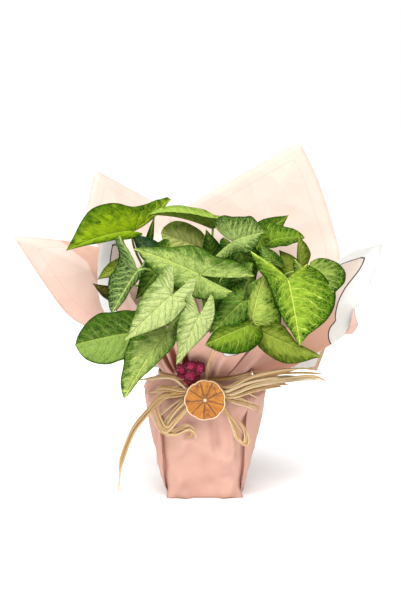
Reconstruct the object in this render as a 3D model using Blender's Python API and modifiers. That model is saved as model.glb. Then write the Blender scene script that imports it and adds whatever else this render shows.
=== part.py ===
"""Arrowhead plant in a nursery pot, gift-wrapped in paper and tied with raffia.

The pot's axis is +Z, the table is z = 0 and the front of the plant looks along -Y.
Leaves and paper edges were set out on one front view, drawn from 1.5 m away and 8 degrees
above the level, so most places below are (right of the axis, above the table, depth), in mm.
"""

import math
import random
from bisect import bisect

import bmesh
import bpy
from mathutils import Vector
from mathutils.geometry import interpolate_bezier

MM = 0.001
POT_TOP, POT_BASE, POT_HEIGHT, POT_WALL = 57.0, 35.6, 100.0, 1.2
POT_FLOOR = 1.0
RIM_BAND, RIM_HEIGHT = 1.3, 9.0
DRAIN_RADIUS, DRAIN_CIRCLE = 3.2, 24.0
SOIL_TOP, SOIL_GAP = 90.0, 0.35
TURN_STEPS = 28
STEM_RADIUS, HOLE_CLEARANCE, STEM_FOOT, CROWN = 3.2, 0.3, 58.0, 108.0
PETIOLE_BASE, PETIOLE_END, PETIOLE_POINTS = 1.7, 1.1, 7
LEAF_THICKNESS, PAPER = 0.8, 0.7
NECK_RADIUS, NECK_LOW, NECK_HIGH = 44.0, 117.8, 123.5
PANEL_FOOT, PANEL_TOP = 38.0, 42.0
RING_INNER, RING_OUTER, RING_LOW, RING_HIGH = 45.3, 47.2, 118.9, 122.6
STRAND_WIDTH, STRAND_THICK = 2.6, 0.8
SLICE_RADIUS, SLICE_THICKNESS, SLICE_AT = 20.0, 3.6, (0, 97, -70)
FLOWER_AT, STALK_RADIUS, STALK_GAP = (-14, 122, -61.5), 1.2, 0.9
EYE_DISTANCE, EYE_PITCH, EYE_HEIGHT, EYE_AIM = 1500.0, math.radians(8), 193.0, (-4.5, 196.5)

UP = Vector((0, 0, 1))


def seen(right, up, depth):
    """The point at this depth that the front view shows this far right of the axis and above the table."""
    ahead = Vector((0, math.cos(EYE_PITCH), -math.sin(EYE_PITCH)))
    over = Vector((0, math.sin(EYE_PITCH), math.cos(EYE_PITCH)))
    eye = Vector((EYE_AIM[0], 0, EYE_HEIGHT)) - EYE_DISTANCE * ahead
    ray = ahead + over * (up - EYE_AIM[1]) / EYE_DISTANCE
    ray.x = (right - EYE_AIM[0]) / EYE_DISTANCE
    return eye + ray * (depth - eye.y) / ray.y


def polar(angle, radius, height):
    """Angles run from the front, -Y, towards +X."""
    a = math.radians(angle)
    return Vector((radius * math.sin(a), -radius * math.cos(a), height))


def lerp(a, b, t):
    return a + (b - a) * t


def clear_scene():
    for obj in list(bpy.data.objects):
        bpy.data.objects.remove(obj)
    for mesh in list(bpy.data.meshes):
        bpy.data.meshes.remove(mesh)


def new_collection(name):
    collection = bpy.data.collections.new(name)
    bpy.context.scene.collection.children.link(collection)
    return collection


def material(name, colour, roughness):
    made = bpy.data.materials.new(name)
    made.use_nodes = True
    shader = made.node_tree.nodes["Principled BSDF"]
    shader.inputs["Base Color"].default_value = (*colour, 1)
    shader.inputs["Roughness"].default_value = roughness
    shader.inputs["Metallic"].default_value = 0
    return made


def mesh_object(name, bm, collection, look=None):
    bmesh.ops.remove_doubles(bm, verts=bm.verts, dist=2e-6)
    bmesh.ops.recalc_face_normals(bm, faces=bm.faces)
    mesh = bpy.data.meshes.new(name)
    bm.to_mesh(mesh)
    bm.free()
    mesh.shade_smooth()
    obj = bpy.data.objects.new(name, mesh)
    collection.objects.link(obj)
    if look:
        mesh.materials.append(look)
    return obj


def add_surface(bm, across, along, place):
    """A grid of this many quads whose points go where place(u, v) says, u and v from 0 to 1."""
    made = bmesh.ops.create_grid(bm, x_segments=across, y_segments=along, size=0.5)
    for vert in made["verts"]:
        vert.co = place(vert.co.x + 0.5, vert.co.y + 0.5) * MM
    return made["verts"]


def tube(name, points, radii, bevel_resolution, collection):
    """A closed round tube through the points, from a curve, with a radius at each point."""
    curve = bpy.data.curves.new(name, "CURVE")
    curve.dimensions = "3D"
    curve.bevel_depth = MM
    curve.bevel_resolution = bevel_resolution
    curve.use_fill_caps = True
    spline = curve.splines.new("POLY")
    spline.points.add(len(points) - 1)
    for knot, place, radius in zip(spline.points, points, radii):
        knot.co = (*(place * MM), 1)
        knot.radius = radius
    guide = bpy.data.objects.new(name + "_curve", curve)
    collection.objects.link(guide)
    evaluated = guide.evaluated_get(bpy.context.evaluated_depsgraph_get())
    mesh = bpy.data.meshes.new_from_object(evaluated)
    bm = bmesh.new()
    bm.from_mesh(mesh)
    bpy.data.meshes.remove(mesh)
    bpy.data.objects.remove(guide)
    bpy.data.curves.remove(curve)
    return mesh_object(name, bm, collection)


def smooth_path(points, per_span):
    """A Catmull-Rom curve through the points."""
    ends = [points[0] * 2 - points[1], *points, points[-1] * 2 - points[-2]]
    out = [points[0]]
    for i in range(1, len(ends) - 2):
        before, a, b, after = ends[i - 1 : i + 3]
        knots = interpolate_bezier(a, a + (b - before) / 6, b - (after - a) / 6, b, per_span + 1)
        out += knots[1:]
    return out


def apply_modifiers(obj):
    evaluated = obj.evaluated_get(bpy.context.evaluated_depsgraph_get())
    mesh = bpy.data.meshes.new_from_object(evaluated)
    old = obj.data
    obj.modifiers.clear()
    obj.data = mesh
    bpy.data.meshes.remove(old)


def solidify(obj, thickness):
    shell = obj.modifiers.new("Thickness", "SOLIDIFY")
    shell.thickness = thickness * MM
    shell.offset = 0
    apply_modifiers(obj)


def union(name, pieces, look, solver="EXACT"):
    """Joins closed pieces into the first with one Boolean on a collection, then removes the others."""
    base = pieces[0]
    base.name = name
    joined = bpy.data.collections.new(name + "_joined")
    for piece in pieces[1:]:
        joined.objects.link(piece)
    boolean = base.modifiers.new("Union", "BOOLEAN")
    boolean.operation = "UNION"
    boolean.solver = solver
    boolean.operand_type = "COLLECTION"
    boolean.collection = joined
    bpy.context.view_layer.update()
    apply_modifiers(base)
    for piece in pieces[1:]:
        bpy.data.objects.remove(piece)
    bpy.data.collections.remove(joined)
    base.data.materials.clear()
    base.data.materials.append(look)


def cut(obj, cutters):
    """Takes the cutters away from the object with one Boolean."""
    tools = new_collection(obj.name + "_cutters")
    for cutter in cutters:
        for home in list(cutter.users_collection):
            home.objects.unlink(cutter)
        tools.objects.link(cutter)
        cutter.hide_render = True
        cutter.display_type = "WIRE"
    boolean = obj.modifiers.new("Holes", "BOOLEAN")
    boolean.operation = "DIFFERENCE"
    boolean.solver = "EXACT"
    boolean.operand_type = "COLLECTION"
    boolean.collection = tools
    bpy.context.view_layer.update()
    apply_modifiers(obj)
    for cutter in cutters:
        bpy.data.objects.remove(cutter)
    bpy.data.collections.remove(tools)


# A blade is two halves that meet at the midrib. Each half is laid out flat in leaf lengths, with the
# joint of the petiole at (0, 0) and the tip at (1, 0), and is then folded, cupped and arched. Its margin
# is given as (along, out) in hundredths, from the tip of the lobe that reaches back of the joint.
ARROWHEAD = [(-42, 20), (-37, 31), (-16, 37), (8, 36), (34, 31), (60, 20), (84, 7)]
NOTCH_CURVE = 1.3


class Margin:
    """The margin of one half as a smooth line, measured by its length from 0 at the lobe to 1 at the tip."""

    def __init__(self, points, girth):
        knots = [Vector((along, out * girth, 0)) / 100 for along, out in points] + [Vector((1, 0, 0))]
        self.path = smooth_path(knots, 6)
        steps = [(b - a).length for a, b in zip(self.path, self.path[1:])]
        self.runs = [sum(steps[:i]) / sum(steps) for i in range(len(self.path))]
        self.beside = next(run for run, point in zip(self.runs, self.path) if point.x >= 0)
        self.back = max(0.05, -min(point.x for point in self.path))
        self.width = max(point.y for point in self.path)

    def at(self, run):
        i = min(max(bisect(self.runs, run) - 1, 0), len(self.path) - 2)
        return lerp(self.path[i], self.path[i + 1], (run - self.runs[i]) / (self.runs[i + 1] - self.runs[i]))


def arc(x, turn):
    """Distance ahead, height and slope at x along an arc that bends down by this turn in a leaf length."""
    if abs(turn) < 1e-6:
        return x, 0.0, 0.0
    return math.sin(turn * x) / turn, (math.cos(turn * x) - 1) / turn, turn * x


def pair(value):
    return value if isinstance(value, tuple) else (value, value)


class Leaf:
    """One leaf: its joint and tip, the way its upper face looks, and its margins.

    The left half comes before the right one, as seen with the tip up, and so do pairs. Angles are in
    degrees. The petiole comes to the joint from below the blade, from behind it, or over the place `via`.
    """

    def __init__(self, joint, tip, facing, left=ARROWHEAD, right=None, girth=1.0, fold=12, arch=28,
                 lobe=18, cup=0.12, wave=0.02, droop=0.1,
                 rise=0.55, from_below=0.8, from_behind=0.4, via=None):
        self.joint, self.tip = seen(*joint), seen(*tip)
        self.margins = Margin(left, girth), Margin(right or left, girth)
        self.fold = [math.radians(f) for f in pair(fold)]
        self.arch, self.lobe = math.radians(arch), math.radians(lobe)
        self.cup, self.wave, self.droop = cup, wave, droop
        self.rise, self.from_below, self.from_behind, self.via = rise, from_below, from_behind, via
        chord = self.tip - self.joint
        ahead = chord.normalized()
        normal = Vector(facing)
        normal = (normal - ahead * normal.dot(ahead)).normalized()
        half = self.arch / 2
        self.x = ahead * math.cos(half) + normal * math.sin(half)
        self.z = normal * math.cos(half) - ahead * math.sin(half)
        self.y = self.z.cross(self.x)
        self.length = chord.length * half / math.sin(half)

    def flat(self, margin, u, v):
        """Along and out before the blade is bent, u from the midrib or notch to the margin, v from -1 to 1."""
        if v >= 0:
            inner, outer = Vector((v, 0, 0)), margin.at(lerp(margin.beside, 1, v))
        else:
            lobe = margin.path[0]
            inner = Vector((-v * lobe.x, (-v) ** NOTCH_CURVE * lobe.y, 0))
            outer = margin.at(margin.beside * (1 + v))
        return lerp(inner, outer, u).xy

    def place(self, side, u, v):
        """The point of this half, side 0 or 1."""
        sign, margin = 1 - 2 * side, self.margins[side]
        width = margin.width
        along, out = self.flat(margin, u, v)
        across = out * math.cos(self.fold[side])
        ripple = self.wave * math.sin(2 * math.pi * (2.6 * along + 0.2 * sign))
        lift = out * math.sin(self.fold[side]) + self.cup * out * (1 - out / width)
        lift += (ripple - self.droop * width) * (out / width) ** 2
        turn = self.arch if along >= 0 else -self.lobe / margin.back
        forward, down, angle = arc(along, turn)
        x, z = forward + lift * math.sin(angle), down + lift * math.cos(angle)
        return self.joint + (self.x * x + self.y * sign * across + self.z * z) * self.length


def blade(leaf, collection):
    bm = bmesh.new()
    lobe_rows, rows = (3, 6) if leaf.length > 45 else (2, 4)

    def row(b):
        step = round(b * (lobe_rows + rows)) - lobe_rows
        return step / lobe_rows if step < 0 else step / rows

    for side in (0, 1):
        add_surface(bm, 2, lobe_rows + rows, lambda u, b: leaf.place(side, u, row(b)))
    bmesh.ops.remove_doubles(bm, verts=bm.verts, dist=2e-5)
    bmesh.ops.triangulate(bm, faces=bm.faces)
    obj = mesh_object("blade", bm, collection)
    solidify(obj, LEAF_THICKNESS)
    return obj


def petiole(crown, leaf, index, collection):
    """From the crown up through the neck of the paper, then out to the joint."""
    start = crown + polar(index * 137.5, 1.6, -4 + 1.3 * index)
    reach = leaf.joint - start
    first = start + Vector((0.10 * reach.x, 0.10 * reach.y, leaf.rise * reach.length))
    last = leaf.joint - (leaf.z * leaf.from_below + leaf.x * leaf.from_behind) * 0.32 * reach.length
    if leaf.via:
        last = seen(*leaf.via)
    points = interpolate_bezier(start, first, last, leaf.joint, PETIOLE_POINTS)
    radii = [lerp(PETIOLE_BASE, PETIOLE_END, i / (PETIOLE_POINTS - 1)) for i in range(PETIOLE_POINTS)]
    return tube("petiole", points, radii, 0, collection)


def crown_stem(crown, collection):
    low = Vector((crown.x, crown.y, STEM_FOOT))
    points = [lerp(low, crown, t) for t in (0, 0.62, 1)]
    return tube("crown", points, (STEM_RADIUS, STEM_RADIUS, STEM_RADIUS * 0.8), 2, collection)


OVER_RIM = dict(rise=0.62, from_below=0.2, from_behind=1.0)

# Each leafy stem: where it stands in the soil, and its leaves with joint, tip and facing first.
STEMS = {
    "stem_left": ((-21, -13), [
        Leaf((-67, 165, -88), (-130, 152, -106), (-0.3, -1, 0.5),
             [(-9, 24), (8, 37), (30, 42), (48, 44), (61, 44), (77, 40), (90, 29), (97, 15)],
             [(-23, 18), (-12, 33), (6, 38), (26, 38), (44, 41), (61, 37), (74, 30), (91, 14)],
             arch=22, fold=8, rise=0.62, via=(-42, 214, -86)),
        Leaf((-39, 166, -104), (-81, 98, -124), (-0.25, -1, 0.25),
             [(-17, 3), (-8, 13), (8, 20), (21, 19), (46, 14), (67, 7), (78, 5), (91, 3)],
             [(-12, 8), (6, 18), (18, 27), (32, 33), (53, 27), (63, 22), (82, 15), (93, 7)],
             arch=25, **OVER_RIM),
        Leaf((-68, 226, -64), (-93, 184, -84), (-0.2, -1, 0.3),
             [(-30, 2), (-24, 8), (-9, 15), (24, 12), (46, 10), (63, 11), (84, 8)],
             [(-52, 69), (-40, 73), (-17, 51), (14, 39), (38, 40), (64, 29), (83, 17), (96, 7)],
             arch=20, fold=5, via=(-38, 240, -66)),
        Leaf((-87, 229, -40), (-108, 217, -50), (0, -1, 0.6), from_below=0.1, from_behind=0.9),
        Leaf((-91, 203, -44), (-113, 214, -56), (0, -1, -0.2), girth=0.85, via=(-64, 236, -48)),
    ]),
    "stem_front": ((-5, -23), [
        Leaf((-33, 202, -114), (-81, 156, -127), (-0.1, -1, 0.25),
             [(-38, 2), (-43, 7), (-38, 13), (-20, 23), (7, 29), (33, 30), (60, 19), (82, 8)],
             [(-33, 32), (-24, 39), (3, 35), (34, 30), (59, 18), (77, 9), (89, 3)],
             arch=22, fold=5),
        Leaf((-6, 181, -120), (-29, 132, -130), (0, -1, 0.2),
             [(-44, 2), (-44, 8), (-29, 19), (-11, 27), (17, 28), (44, 20), (68, 11), (89, 5)],
             [(-32, 31), (-23, 37), (2, 35), (33, 29), (58, 19), (73, 9), (88, 5)],
             arch=22, fold=5),
        Leaf((-5, 222, -82), (-72, 248, -58), (0, -0.9, 0.55),
             [(-48, 3), (-47, 11), (-39, 21), (-21, 28), (1, 33), (29, 29), (53, 24), (67, 17), (84, 6)],
             [(-64, 30), (-54, 37), (-34, 43), (-12, 37), (9, 38), (33, 34), (51, 20), (72, 12), (89, 6)],
             arch=30, fold=(5, -5)),
    ]),
    "stem_back_left": ((-24, 8), [
        Leaf((-71, 266, -18), (-139, 246, -45), (0.15, -0.85, 0.5),
             [(-8, 8), (2, 15), (20, 18), (42, 16), (64, 11), (84, 5)],
             [(-97, 50), (-92, 54), (-68, 48), (-41, 40), (-14, 34), (7, 38), (33, 42), (52, 38), (69, 26),
              (84, 12)],
             arch=60, fold=(35, 12), lobe=-10),
        Leaf((-40, 235, -31), (-70, 197, -46), (0.1, -1, 0.3)),
        Leaf((-57, 251, 2), (-50, 283, -4), (0, -1, 0.2), girth=0.35),
        Leaf((-52, 244, -4), (-74, 264, -8), (-0.2, -1, 0.3), girth=1.1),
        Leaf((-50, 224, 18), (-79, 210, 15), (-0.4, 0.5, 0.8), arch=35),
    ]),
    "stem_middle": ((-2, 12), [
        Leaf((8, 269, 16), (-57, 282, 2), (0, -0.12, 1),
             [(-18, 20), (-10, 32), (4, 36), (15, 33), (30, 20), (47, 15), (63, 12), (82, 6)],
             [(-22, 28), (-8, 42), (17, 34), (35, 33), (55, 25), (71, 20), (89, 9)],
             arch=30, fold=(35, 30)),
        Leaf((-2, 248, 30), (-44, 264, 20), (0.1, -1, 0.3),
             [(-16, 14), (-10, 26), (0, 33), (21, 39), (53, 41), (75, 32), (90, 18)],
             [(-14, 10), (-6, 18), (7, 28), (30, 38), (53, 40), (76, 37), (91, 25), (99, 12)],
             arch=20),
        Leaf((28, 256, -46), (60, 265, -34), (0, -1, 0.5),
             [(-41, 49), (-37, 65), (-14, 79), (11, 73), (42, 58), (68, 54), (80, 37), (88, 19)],
             [(-70, 33), (-56, 48), (-28, 47), (-1, 41), (17, 57), (40, 49), (59, 36), (75, 17)],
             arch=25, fold=18, wave=0.05),
        Leaf((8, 236, 4), (1, 268, 0), (0.2, -1, 0.3), girth=1.1),
        Leaf((14, 214, -22), (2, 176, -32), (0, -1, 0.3), girth=1.2),
        Leaf((34, 247, -14), (50, 208, -24), (0.1, -1, 0.3), girth=1.1),
    ]),
    "stem_back": ((-4, 30), [
        Leaf((-26, 206, 32), (-42, 168, 27), (-0.4, 1, 0.5), arch=25),
        Leaf((19, 232, 43), (33, 194, 42), (0.1, 1, 0.5), arch=22),
        Leaf((15, 194, 30), (17, 160, 32), (0.1, 1, 0.3), girth=0.7, arch=20),
    ]),
    "stem_front_right": ((16, -20), [
        Leaf((45, 172, -108), (0, 152, -122), (0, -1, 0.35),
             [(-14, 9), (-17, 22), (-10, 35), (8, 44), (28, 49), (51, 45), (71, 35), (86, 21), (94, 9)],
             [(-12, 6), (0, 9), (27, 12), (45, 18), (67, 18), (84, 11)]),
        Leaf((37, 195, -72), (3, 160, -80), (0, -1, 0.35)),
        Leaf((47, 177, -94), (59, 222, -74), (-0.2, -1, 0.2),
             [(-8, 4), (1, 8), (18, 14), (36, 18), (62, 15), (86, 9)],
             [(-20, 22), (-17, 43), (-3, 58), (13, 60), (28, 53), (44, 39), (65, 27), (86, 13)]),
        Leaf((57, 165, -103), (117, 140, -118), (0.1, -1, -0.15),
             [(-10, 7), (7, 15), (17, 24), (31, 24), (43, 18), (54, 10), (63, 7), (75, 6), (87, 4)],
             [(-15, 8), (-5, 15), (3, 22), (21, 27), (35, 30), (50, 29), (64, 24), (77, 16), (88, 7)],
             arch=35),
        Leaf((44, 213, -56), (16, 178, -62), (0, -1, 0.3), girth=1.15),
    ]),
    "stem_right": ((27, -3), [
        Leaf((83, 218, -90), (95, 151, -124), (0.1, -1, 0.3),
             [(-20, 30), (-8, 46), (11, 56), (21, 63), (41, 59), (53, 54), (68, 42), (78, 28), (86, 14),
              (93, 6)],
             [(-48, 46), (-35, 44), (-14, 39), (-1, 32), (20, 28), (41, 24), (62, 19), (80, 10), (94, 4)],
             arch=25, fold=(0, 12), rise=0.65),
        Leaf((104, 221, -80), (111, 185, -104), (0.2, -1, 0.4),
             [(-39, 9), (-46, 34), (-37, 62), (-18, 86), (12, 89), (35, 78), (56, 53), (72, 34), (92, 12)],
             [(-47, 29), (-31, 36), (0, 36), (34, 28), (60, 19), (87, 8)],
             arch=15, rise=0.65, from_below=0.5, from_behind=0.8),
        Leaf((97, 228, -38), (94, 262, -31), (-0.3, -1, 0.2),
             [(-10, 4), (-2, 9), (22, 12), (50, 9), (76, 5)],
             [(-10, 8), (2, 13), (22, 26), (44, 32), (69, 22), (85, 9)]),
        Leaf((88, 226, -30), (74, 247, -20), (0.2, -1, 0.5), girth=1.2),
    ]),
    "stem_back_right": ((19, 19), [
        Leaf((66, 256, -20), (100, 259, -14), (0, -0.7, 0.8),
             [(-25, 60), (-15, 80), (6, 80), (21, 56), (44, 38), (71, 27), (91, 12)],
             [(-20, 20), (-12, 31), (6, 39), (29, 42), (54, 38), (75, 25), (90, 10)],
             arch=40, fold=(10, 20)),
        Leaf((57, 262, 28), (84, 282, 26), (0, -1, 0.3), girth=1.1),
        Leaf((67, 234, -50), (55, 253, -48), (-0.3, -0.8, 0.5), girth=1.25),
        Leaf((56, 236, 24), (88, 214, 24), (0.5, 0.5, 0.7), arch=35),
        Leaf((58, 200, 14), (96, 186, 0), (0.6, 0.2, 0.8), arch=35),
    ]),
}


def leafy_stem(name, foot, leaves, collection, look):
    """One solid. The exact solver leaves walls that touch where petioles cross, so it isn't used here."""
    crown = Vector((*foot, CROWN))
    pieces = [crown_stem(crown, collection)]
    for index, leaf in enumerate(leaves):
        pieces += [petiole(crown, leaf, index, collection), blade(leaf, collection)]
    union(name, pieces, look, "MANIFOLD")


# The paper. A sheet's rim is a list of (angle at the neck, rim point, whether it is a corner).
MAIN_RIM = [
    (-180, polar(-180, 56, 134), 0), (-160, polar(-160, 56, 134), 0), (-140, polar(-140, 55, 132), 0),
    (-120, polar(-120, 48, 128), 0), (-105, polar(-105, 47.5, 127), 0), (-96, seen(-72, 148, -2), 0),
    (-88, seen(-96, 178, -8), 0), (-80, seen(-106, 200, -12), 0), (-73, seen(-107, 235, -13), 0),
    (-66, seen(-101, 269, -12), 1), (-60, seen(-83, 261, -18), 0), (-54, seen(-80, 235, -24), 0),
    (-48, seen(-76, 205, -40), 0), (-42, seen(-66, 188, -58), 0), (-38, seen(-55, 178, -70), 0),
    (-28, seen(-36, 170, -84), 0), (-14, seen(-14, 167, -92), 0), (0, seen(6, 164, -95), 0),
    (12, seen(31, 149, -97), 0), (24, seen(62, 160, -93), 0), (38, seen(101, 181, -82), 0),
    (42, seen(108, 192, -75), 0), (48, seen(122, 213, -61), 0), (55, seen(134, 236, -44), 0),
    (63, seen(155, 249, -30), 0), (70, seen(178, 255, -20), 1), (76, seen(169, 222, -22), 0),
    (82, seen(157, 192, -22), 0), (88, seen(148, 166, -18), 0), (92, seen(108, 146, -10), 0),
    (96, seen(64, 131, 0), 0), (103, polar(103, 47.5, 127), 0), (120, polar(120, 48, 127.5), 0),
    (140, polar(140, 54, 131), 0), (160, polar(160, 56, 134), 0), (180, polar(180, 56, 134), 0),
]
LEFT_RIM = [
    (-107, seen(-52, 136, 12), 0), (-110, seen(-87, 152, 8), 0), (-113, seen(-117, 169, 5), 0),
    (-116, seen(-140, 185, 0), 0), (-119, seen(-168, 224, -10), 0), (-122, seen(-192, 261, -16), 1),
    (-126, seen(-165, 259, 4), 0), (-130, seen(-138, 256, 34), 1), (-134, seen(-107, 250, 44), 1),
    (-139, seen(-116, 272, 54), 0), (-143, seen(-118, 289, 62), 0), (-148, seen(-110, 327, 76), 1),
    (-155, seen(-84, 313, 88), 0), (-162, seen(-60, 300, 96), 0), (-170, seen(-35, 289, 101), 0),
    (-178, seen(-8, 272, 103), 0), (-188, seen(20, 250, 101), 0),
]
RIGHT_RIM = [
    (108, seen(58, 134, 20), 0), (112, seen(112, 126, 18), 1), (116, seen(122, 154, 18), 0),
    (120, seen(133, 197, 24), 0), (124, seen(135, 240, 38), 0), (129, seen(130, 264, 54), 0),
    (135, seen(113, 317, 74), 0), (141, seen(95, 355, 84), 1), (150, seen(41, 325, 90), 0),
    (160, seen(-13, 294, 88), 0), (168, seen(-34, 283, 86), 1), (176, seen(-38, 254, 78), 0),
]
# Radius and height up the main sheet, from the middle of its base to the neck, and how square it is.
BODY = [
    (0, 0.35, 1), (31, 0.35, 1), (36.4, 0.35, 1), (38.4, 2.6, 1), (51.2, 50, 1), (59.9, 97, 1),
    (60.2, 104, 0.7), (55.5, 110, 0.3), (49, 114.6, 0), (NECK_RADIUS + 0.6, NECK_LOW, 0),
    (NECK_RADIUS, NECK_HIGH, 0),
]
COLLAR = (0.14, 0.32, 0.55, 0.78, 1)
BASE_ROUND, PANEL_TURN, PANEL_EDGE, PANEL_END = 30, 38, 42, 60
SIDE_SWELL = 1.07
LEFT_FOOT, LEFT_NECK, RIGHT_FOOT, RIGHT_NECK = 50.8, 42.4, 48.4, 40.7


def rim_at(rim, s):
    """Angle and rim point at s, which counts the rim's points. A corner stays sharp."""
    i = min(int(s), len(rim) - 2)
    t = s - i
    (angle, a, sharp_a), (next_angle, b, sharp_b) = rim[i], rim[i + 1]
    into = b - a if sharp_a or i == 0 else (b - rim[i - 1][1]) / 2
    out = b - a if sharp_b or i == len(rim) - 2 else (rim[i + 2][1] - a) / 2
    point = interpolate_bezier(a, a + into / 3, b - out / 3, b, 101)[round(t * 100)]
    return lerp(angle, next_angle, t), point


def squared(angle, radius, height, amount):
    """Angle and radius of the wrapped pot: a flat front panel between two creases, round elsewhere."""
    if radius < BASE_ROUND:
        return angle, radius
    turn = abs(angle)
    crease = math.degrees(math.atan2(lerp(PANEL_FOOT, PANEL_TOP, height / 97), radius))
    if turn <= PANEL_TURN:
        turned = turn * crease / PANEL_TURN
        shaped = radius / math.cos(math.radians(turned))
    elif turn <= PANEL_EDGE:
        over = turn - PANEL_TURN
        turned = crease + over * 0.9
        shaped = lerp(radius / math.cos(math.radians(crease)), radius * SIDE_SWELL, over / 4)
    else:
        turned = lerp(crease + 3.6, 180, (turn - PANEL_EDGE) / (180 - PANEL_EDGE))
        fade = max(0, (90 - turn) / 30)
        shaped = radius * (SIDE_SWELL if turn < PANEL_END else lerp(1, SIDE_SWELL, fade))
    return math.copysign(lerp(turn, turned, amount), angle), lerp(radius, shaped, amount)


def collar_point(angle, rim, radius, height, t, lift, flare):
    """From the neck up and outwards to the rim."""
    start = polar(angle, radius, height)
    reach = (rim - start).length
    middle = start + (UP * lift + polar(angle, 1, 0) * flare) * reach
    return start * (1 - t) ** 2 + middle * 2 * t * (1 - t) + rim * t * t


def sheet(name, columns, rows, place, collection, look):
    bm = bmesh.new()
    add_surface(bm, columns, rows, place)
    bmesh.ops.remove_doubles(bm, verts=bm.verts, dist=2e-6)
    bmesh.ops.triangulate(bm, faces=bm.faces)
    obj = mesh_object(name, bm, collection, look)
    solidify(obj, PAPER)


def main_sheet(collection, look):
    """Under the pot, up its sides, in at the neck and out to the rim."""
    rows = len(BODY) + len(COLLAR) - 1

    def place(u, v):
        angle, rim = rim_at(MAIN_RIM, u * (len(MAIN_RIM) - 1))
        row = round(v * rows)
        if row < len(BODY):
            radius, height, amount = BODY[row]
            angle, radius = squared(angle, radius, height, amount)
            return polar(angle, radius, height)
        return collar_point(angle, rim, NECK_RADIUS, NECK_HIGH, COLLAR[row - len(BODY)], 0.32, 0.16)

    sheet("wrap_main_sheet", len(MAIN_RIM) - 1, rows, place, collection, look)


def back_sheet(name, rim, foot, neck, collection, look):
    """A sheet that stands on the soil behind the stems, held in the neck and fanned out above it."""
    below = [
        (foot, SOIL_TOP + 0.4), (lerp(foot, neck, 0.5), 104), (neck + 0.5, NECK_LOW - 2), (neck, NECK_HIGH),
    ]
    rows = len(below) + len(COLLAR) - 1

    def place(u, v):
        angle, edge = rim_at(rim, u * (len(rim) - 1))
        row = round(v * rows)
        if row < len(below):
            return polar(angle, *below[row])
        return collar_point(angle, edge, neck, NECK_HIGH, COLLAR[row - len(below)], 0.4, 0.1)

    sheet(name, len(rim) - 1, rows, place, collection, look)


def turned(name, profile, collection, look):
    """A body turned round the axis from (radius, height) points that run down its outer side."""
    bm = bmesh.new()
    verts = [bm.verts.new((radius * MM, 0, height * MM)) for radius, height in profile]
    for a, b in zip(verts, verts[1:]):
        bm.edges.new((a, b))
    obj = mesh_object(name, bm, collection, look)
    screw = obj.modifiers.new("Turn", "SCREW")
    screw.steps = screw.render_steps = TURN_STEPS
    screw.use_merge_vertices = True
    screw.merge_threshold = 1e-5
    apply_modifiers(obj)
    return obj


def rod(radius, low, high, at, sides, collection):
    bm = bmesh.new()
    bmesh.ops.create_cone(bm, cap_ends=True, segments=sides, radius1=radius * MM, radius2=radius * MM,
                          depth=(high - low) * MM)
    bmesh.ops.translate(bm, verts=bm.verts, vec=Vector((at[0], at[1], (high + low) / 2)) * MM)
    return mesh_object("rod", bm, collection)


def pot_radius(height):
    return lerp(POT_BASE, POT_TOP, (height - POT_FLOOR) / POT_HEIGHT)


def nursery_pot(collection, look):
    """A thin pot with a rim band and four drain holes."""
    top = POT_FLOOR + POT_HEIGHT
    shoulder = top - RIM_HEIGHT
    floor = POT_FLOOR + POT_WALL
    pot = turned("pot", [
        (0, floor), (pot_radius(floor) - POT_WALL, floor), (pot_radius(top) - POT_WALL, top),
        (pot_radius(top) + RIM_BAND, top), (pot_radius(shoulder) + RIM_BAND, shoulder + 0.6),
        (pot_radius(shoulder), shoulder), (POT_BASE, POT_FLOOR), (0, POT_FLOOR),
    ], collection, look)
    cut(pot, [rod(DRAIN_RADIUS, POT_FLOOR - 2, floor + 2, polar(90 * i + 70, DRAIN_CIRCLE, 0), 8, collection)
              for i in range(4)])


def potting_soil(collection, look):
    """Fills the pot to below its rim, with a plain hole for each stem."""
    low = POT_FLOOR + POT_WALL + 0.4
    soil = turned("soil", [
        (0, SOIL_TOP), (pot_radius(SOIL_TOP) - POT_WALL - SOIL_GAP, SOIL_TOP),
        (pot_radius(low) - POT_WALL - SOIL_GAP, low), (0, low),
    ], collection, look)
    radius, bottom = STEM_RADIUS + HOLE_CLEARANCE, STEM_FOOT - HOLE_CLEARANCE
    cut(soil, [rod(radius, bottom, SOIL_TOP + 4, foot, 10, collection) for foot, _ in STEMS.values()])


# The raffia: a band in the waist of the paper, a knot in front, and flat strands that spread from it.
KNOT, KNOT_SIZE = Vector((0, -50.2, 120.3)), (7, 3.8, 5)
STRANDS = [
    [(2, 118, -52), (20, 109, -66), (42, 118, -74), (70, 125, -82), (98, 127, -79), (121, 126, -72)],
    [(3, 116, -52), (24, 105, -67), (50, 114, -77), (80, 120, -85), (104, 123, -81), (117, 120, -76),
     (115, 111, -74)],
    [(2, 115, -52), (24, 101, -67), (50, 108, -72), (72, 113, -75), (84, 112, -74)],
    [(2, 113, -52), (22, 99, -66), (42, 94, -66), (56, 89, -64)],
    [(-2, 113, -52), (-20, 103, -66), (-42, 99, -67), (-55, 86, -66), (-72, 64, -60), (-83, 34, -57),
     (-86, 12, -56), (-87, 3, -55)],
    [(-2, 114, -52), (-20, 97, -66), (-36, 80, -65), (-42, 66, -64), (-31, 64, -63), (-19, 69, -63),
     (-13, 62, -62), (-22, 58, -61)],
    [(-1, 114, -52), (-16, 92, -67), (-30, 77, -67), (-41, 68, -68), (-49, 82, -67), (-54, 97, -66)],
    [(-2, 115, -52), (-20, 105, -67), (-40, 107, -67), (-58, 104, -63)],
    [(1, 114, -52), (18, 92, -66), (26, 76, -65), (33, 58, -64), (41, 54, -63), (41, 66, -65), (30, 82, -67)],
    [(-2, 113, -52), (-16, 107, -66), (-34, 119, -68), (-68, 117, -68)],
    [(2, 114, -53), (3, 126, -64), (8, 140, -80), (14, 152, -102)],
]


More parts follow.
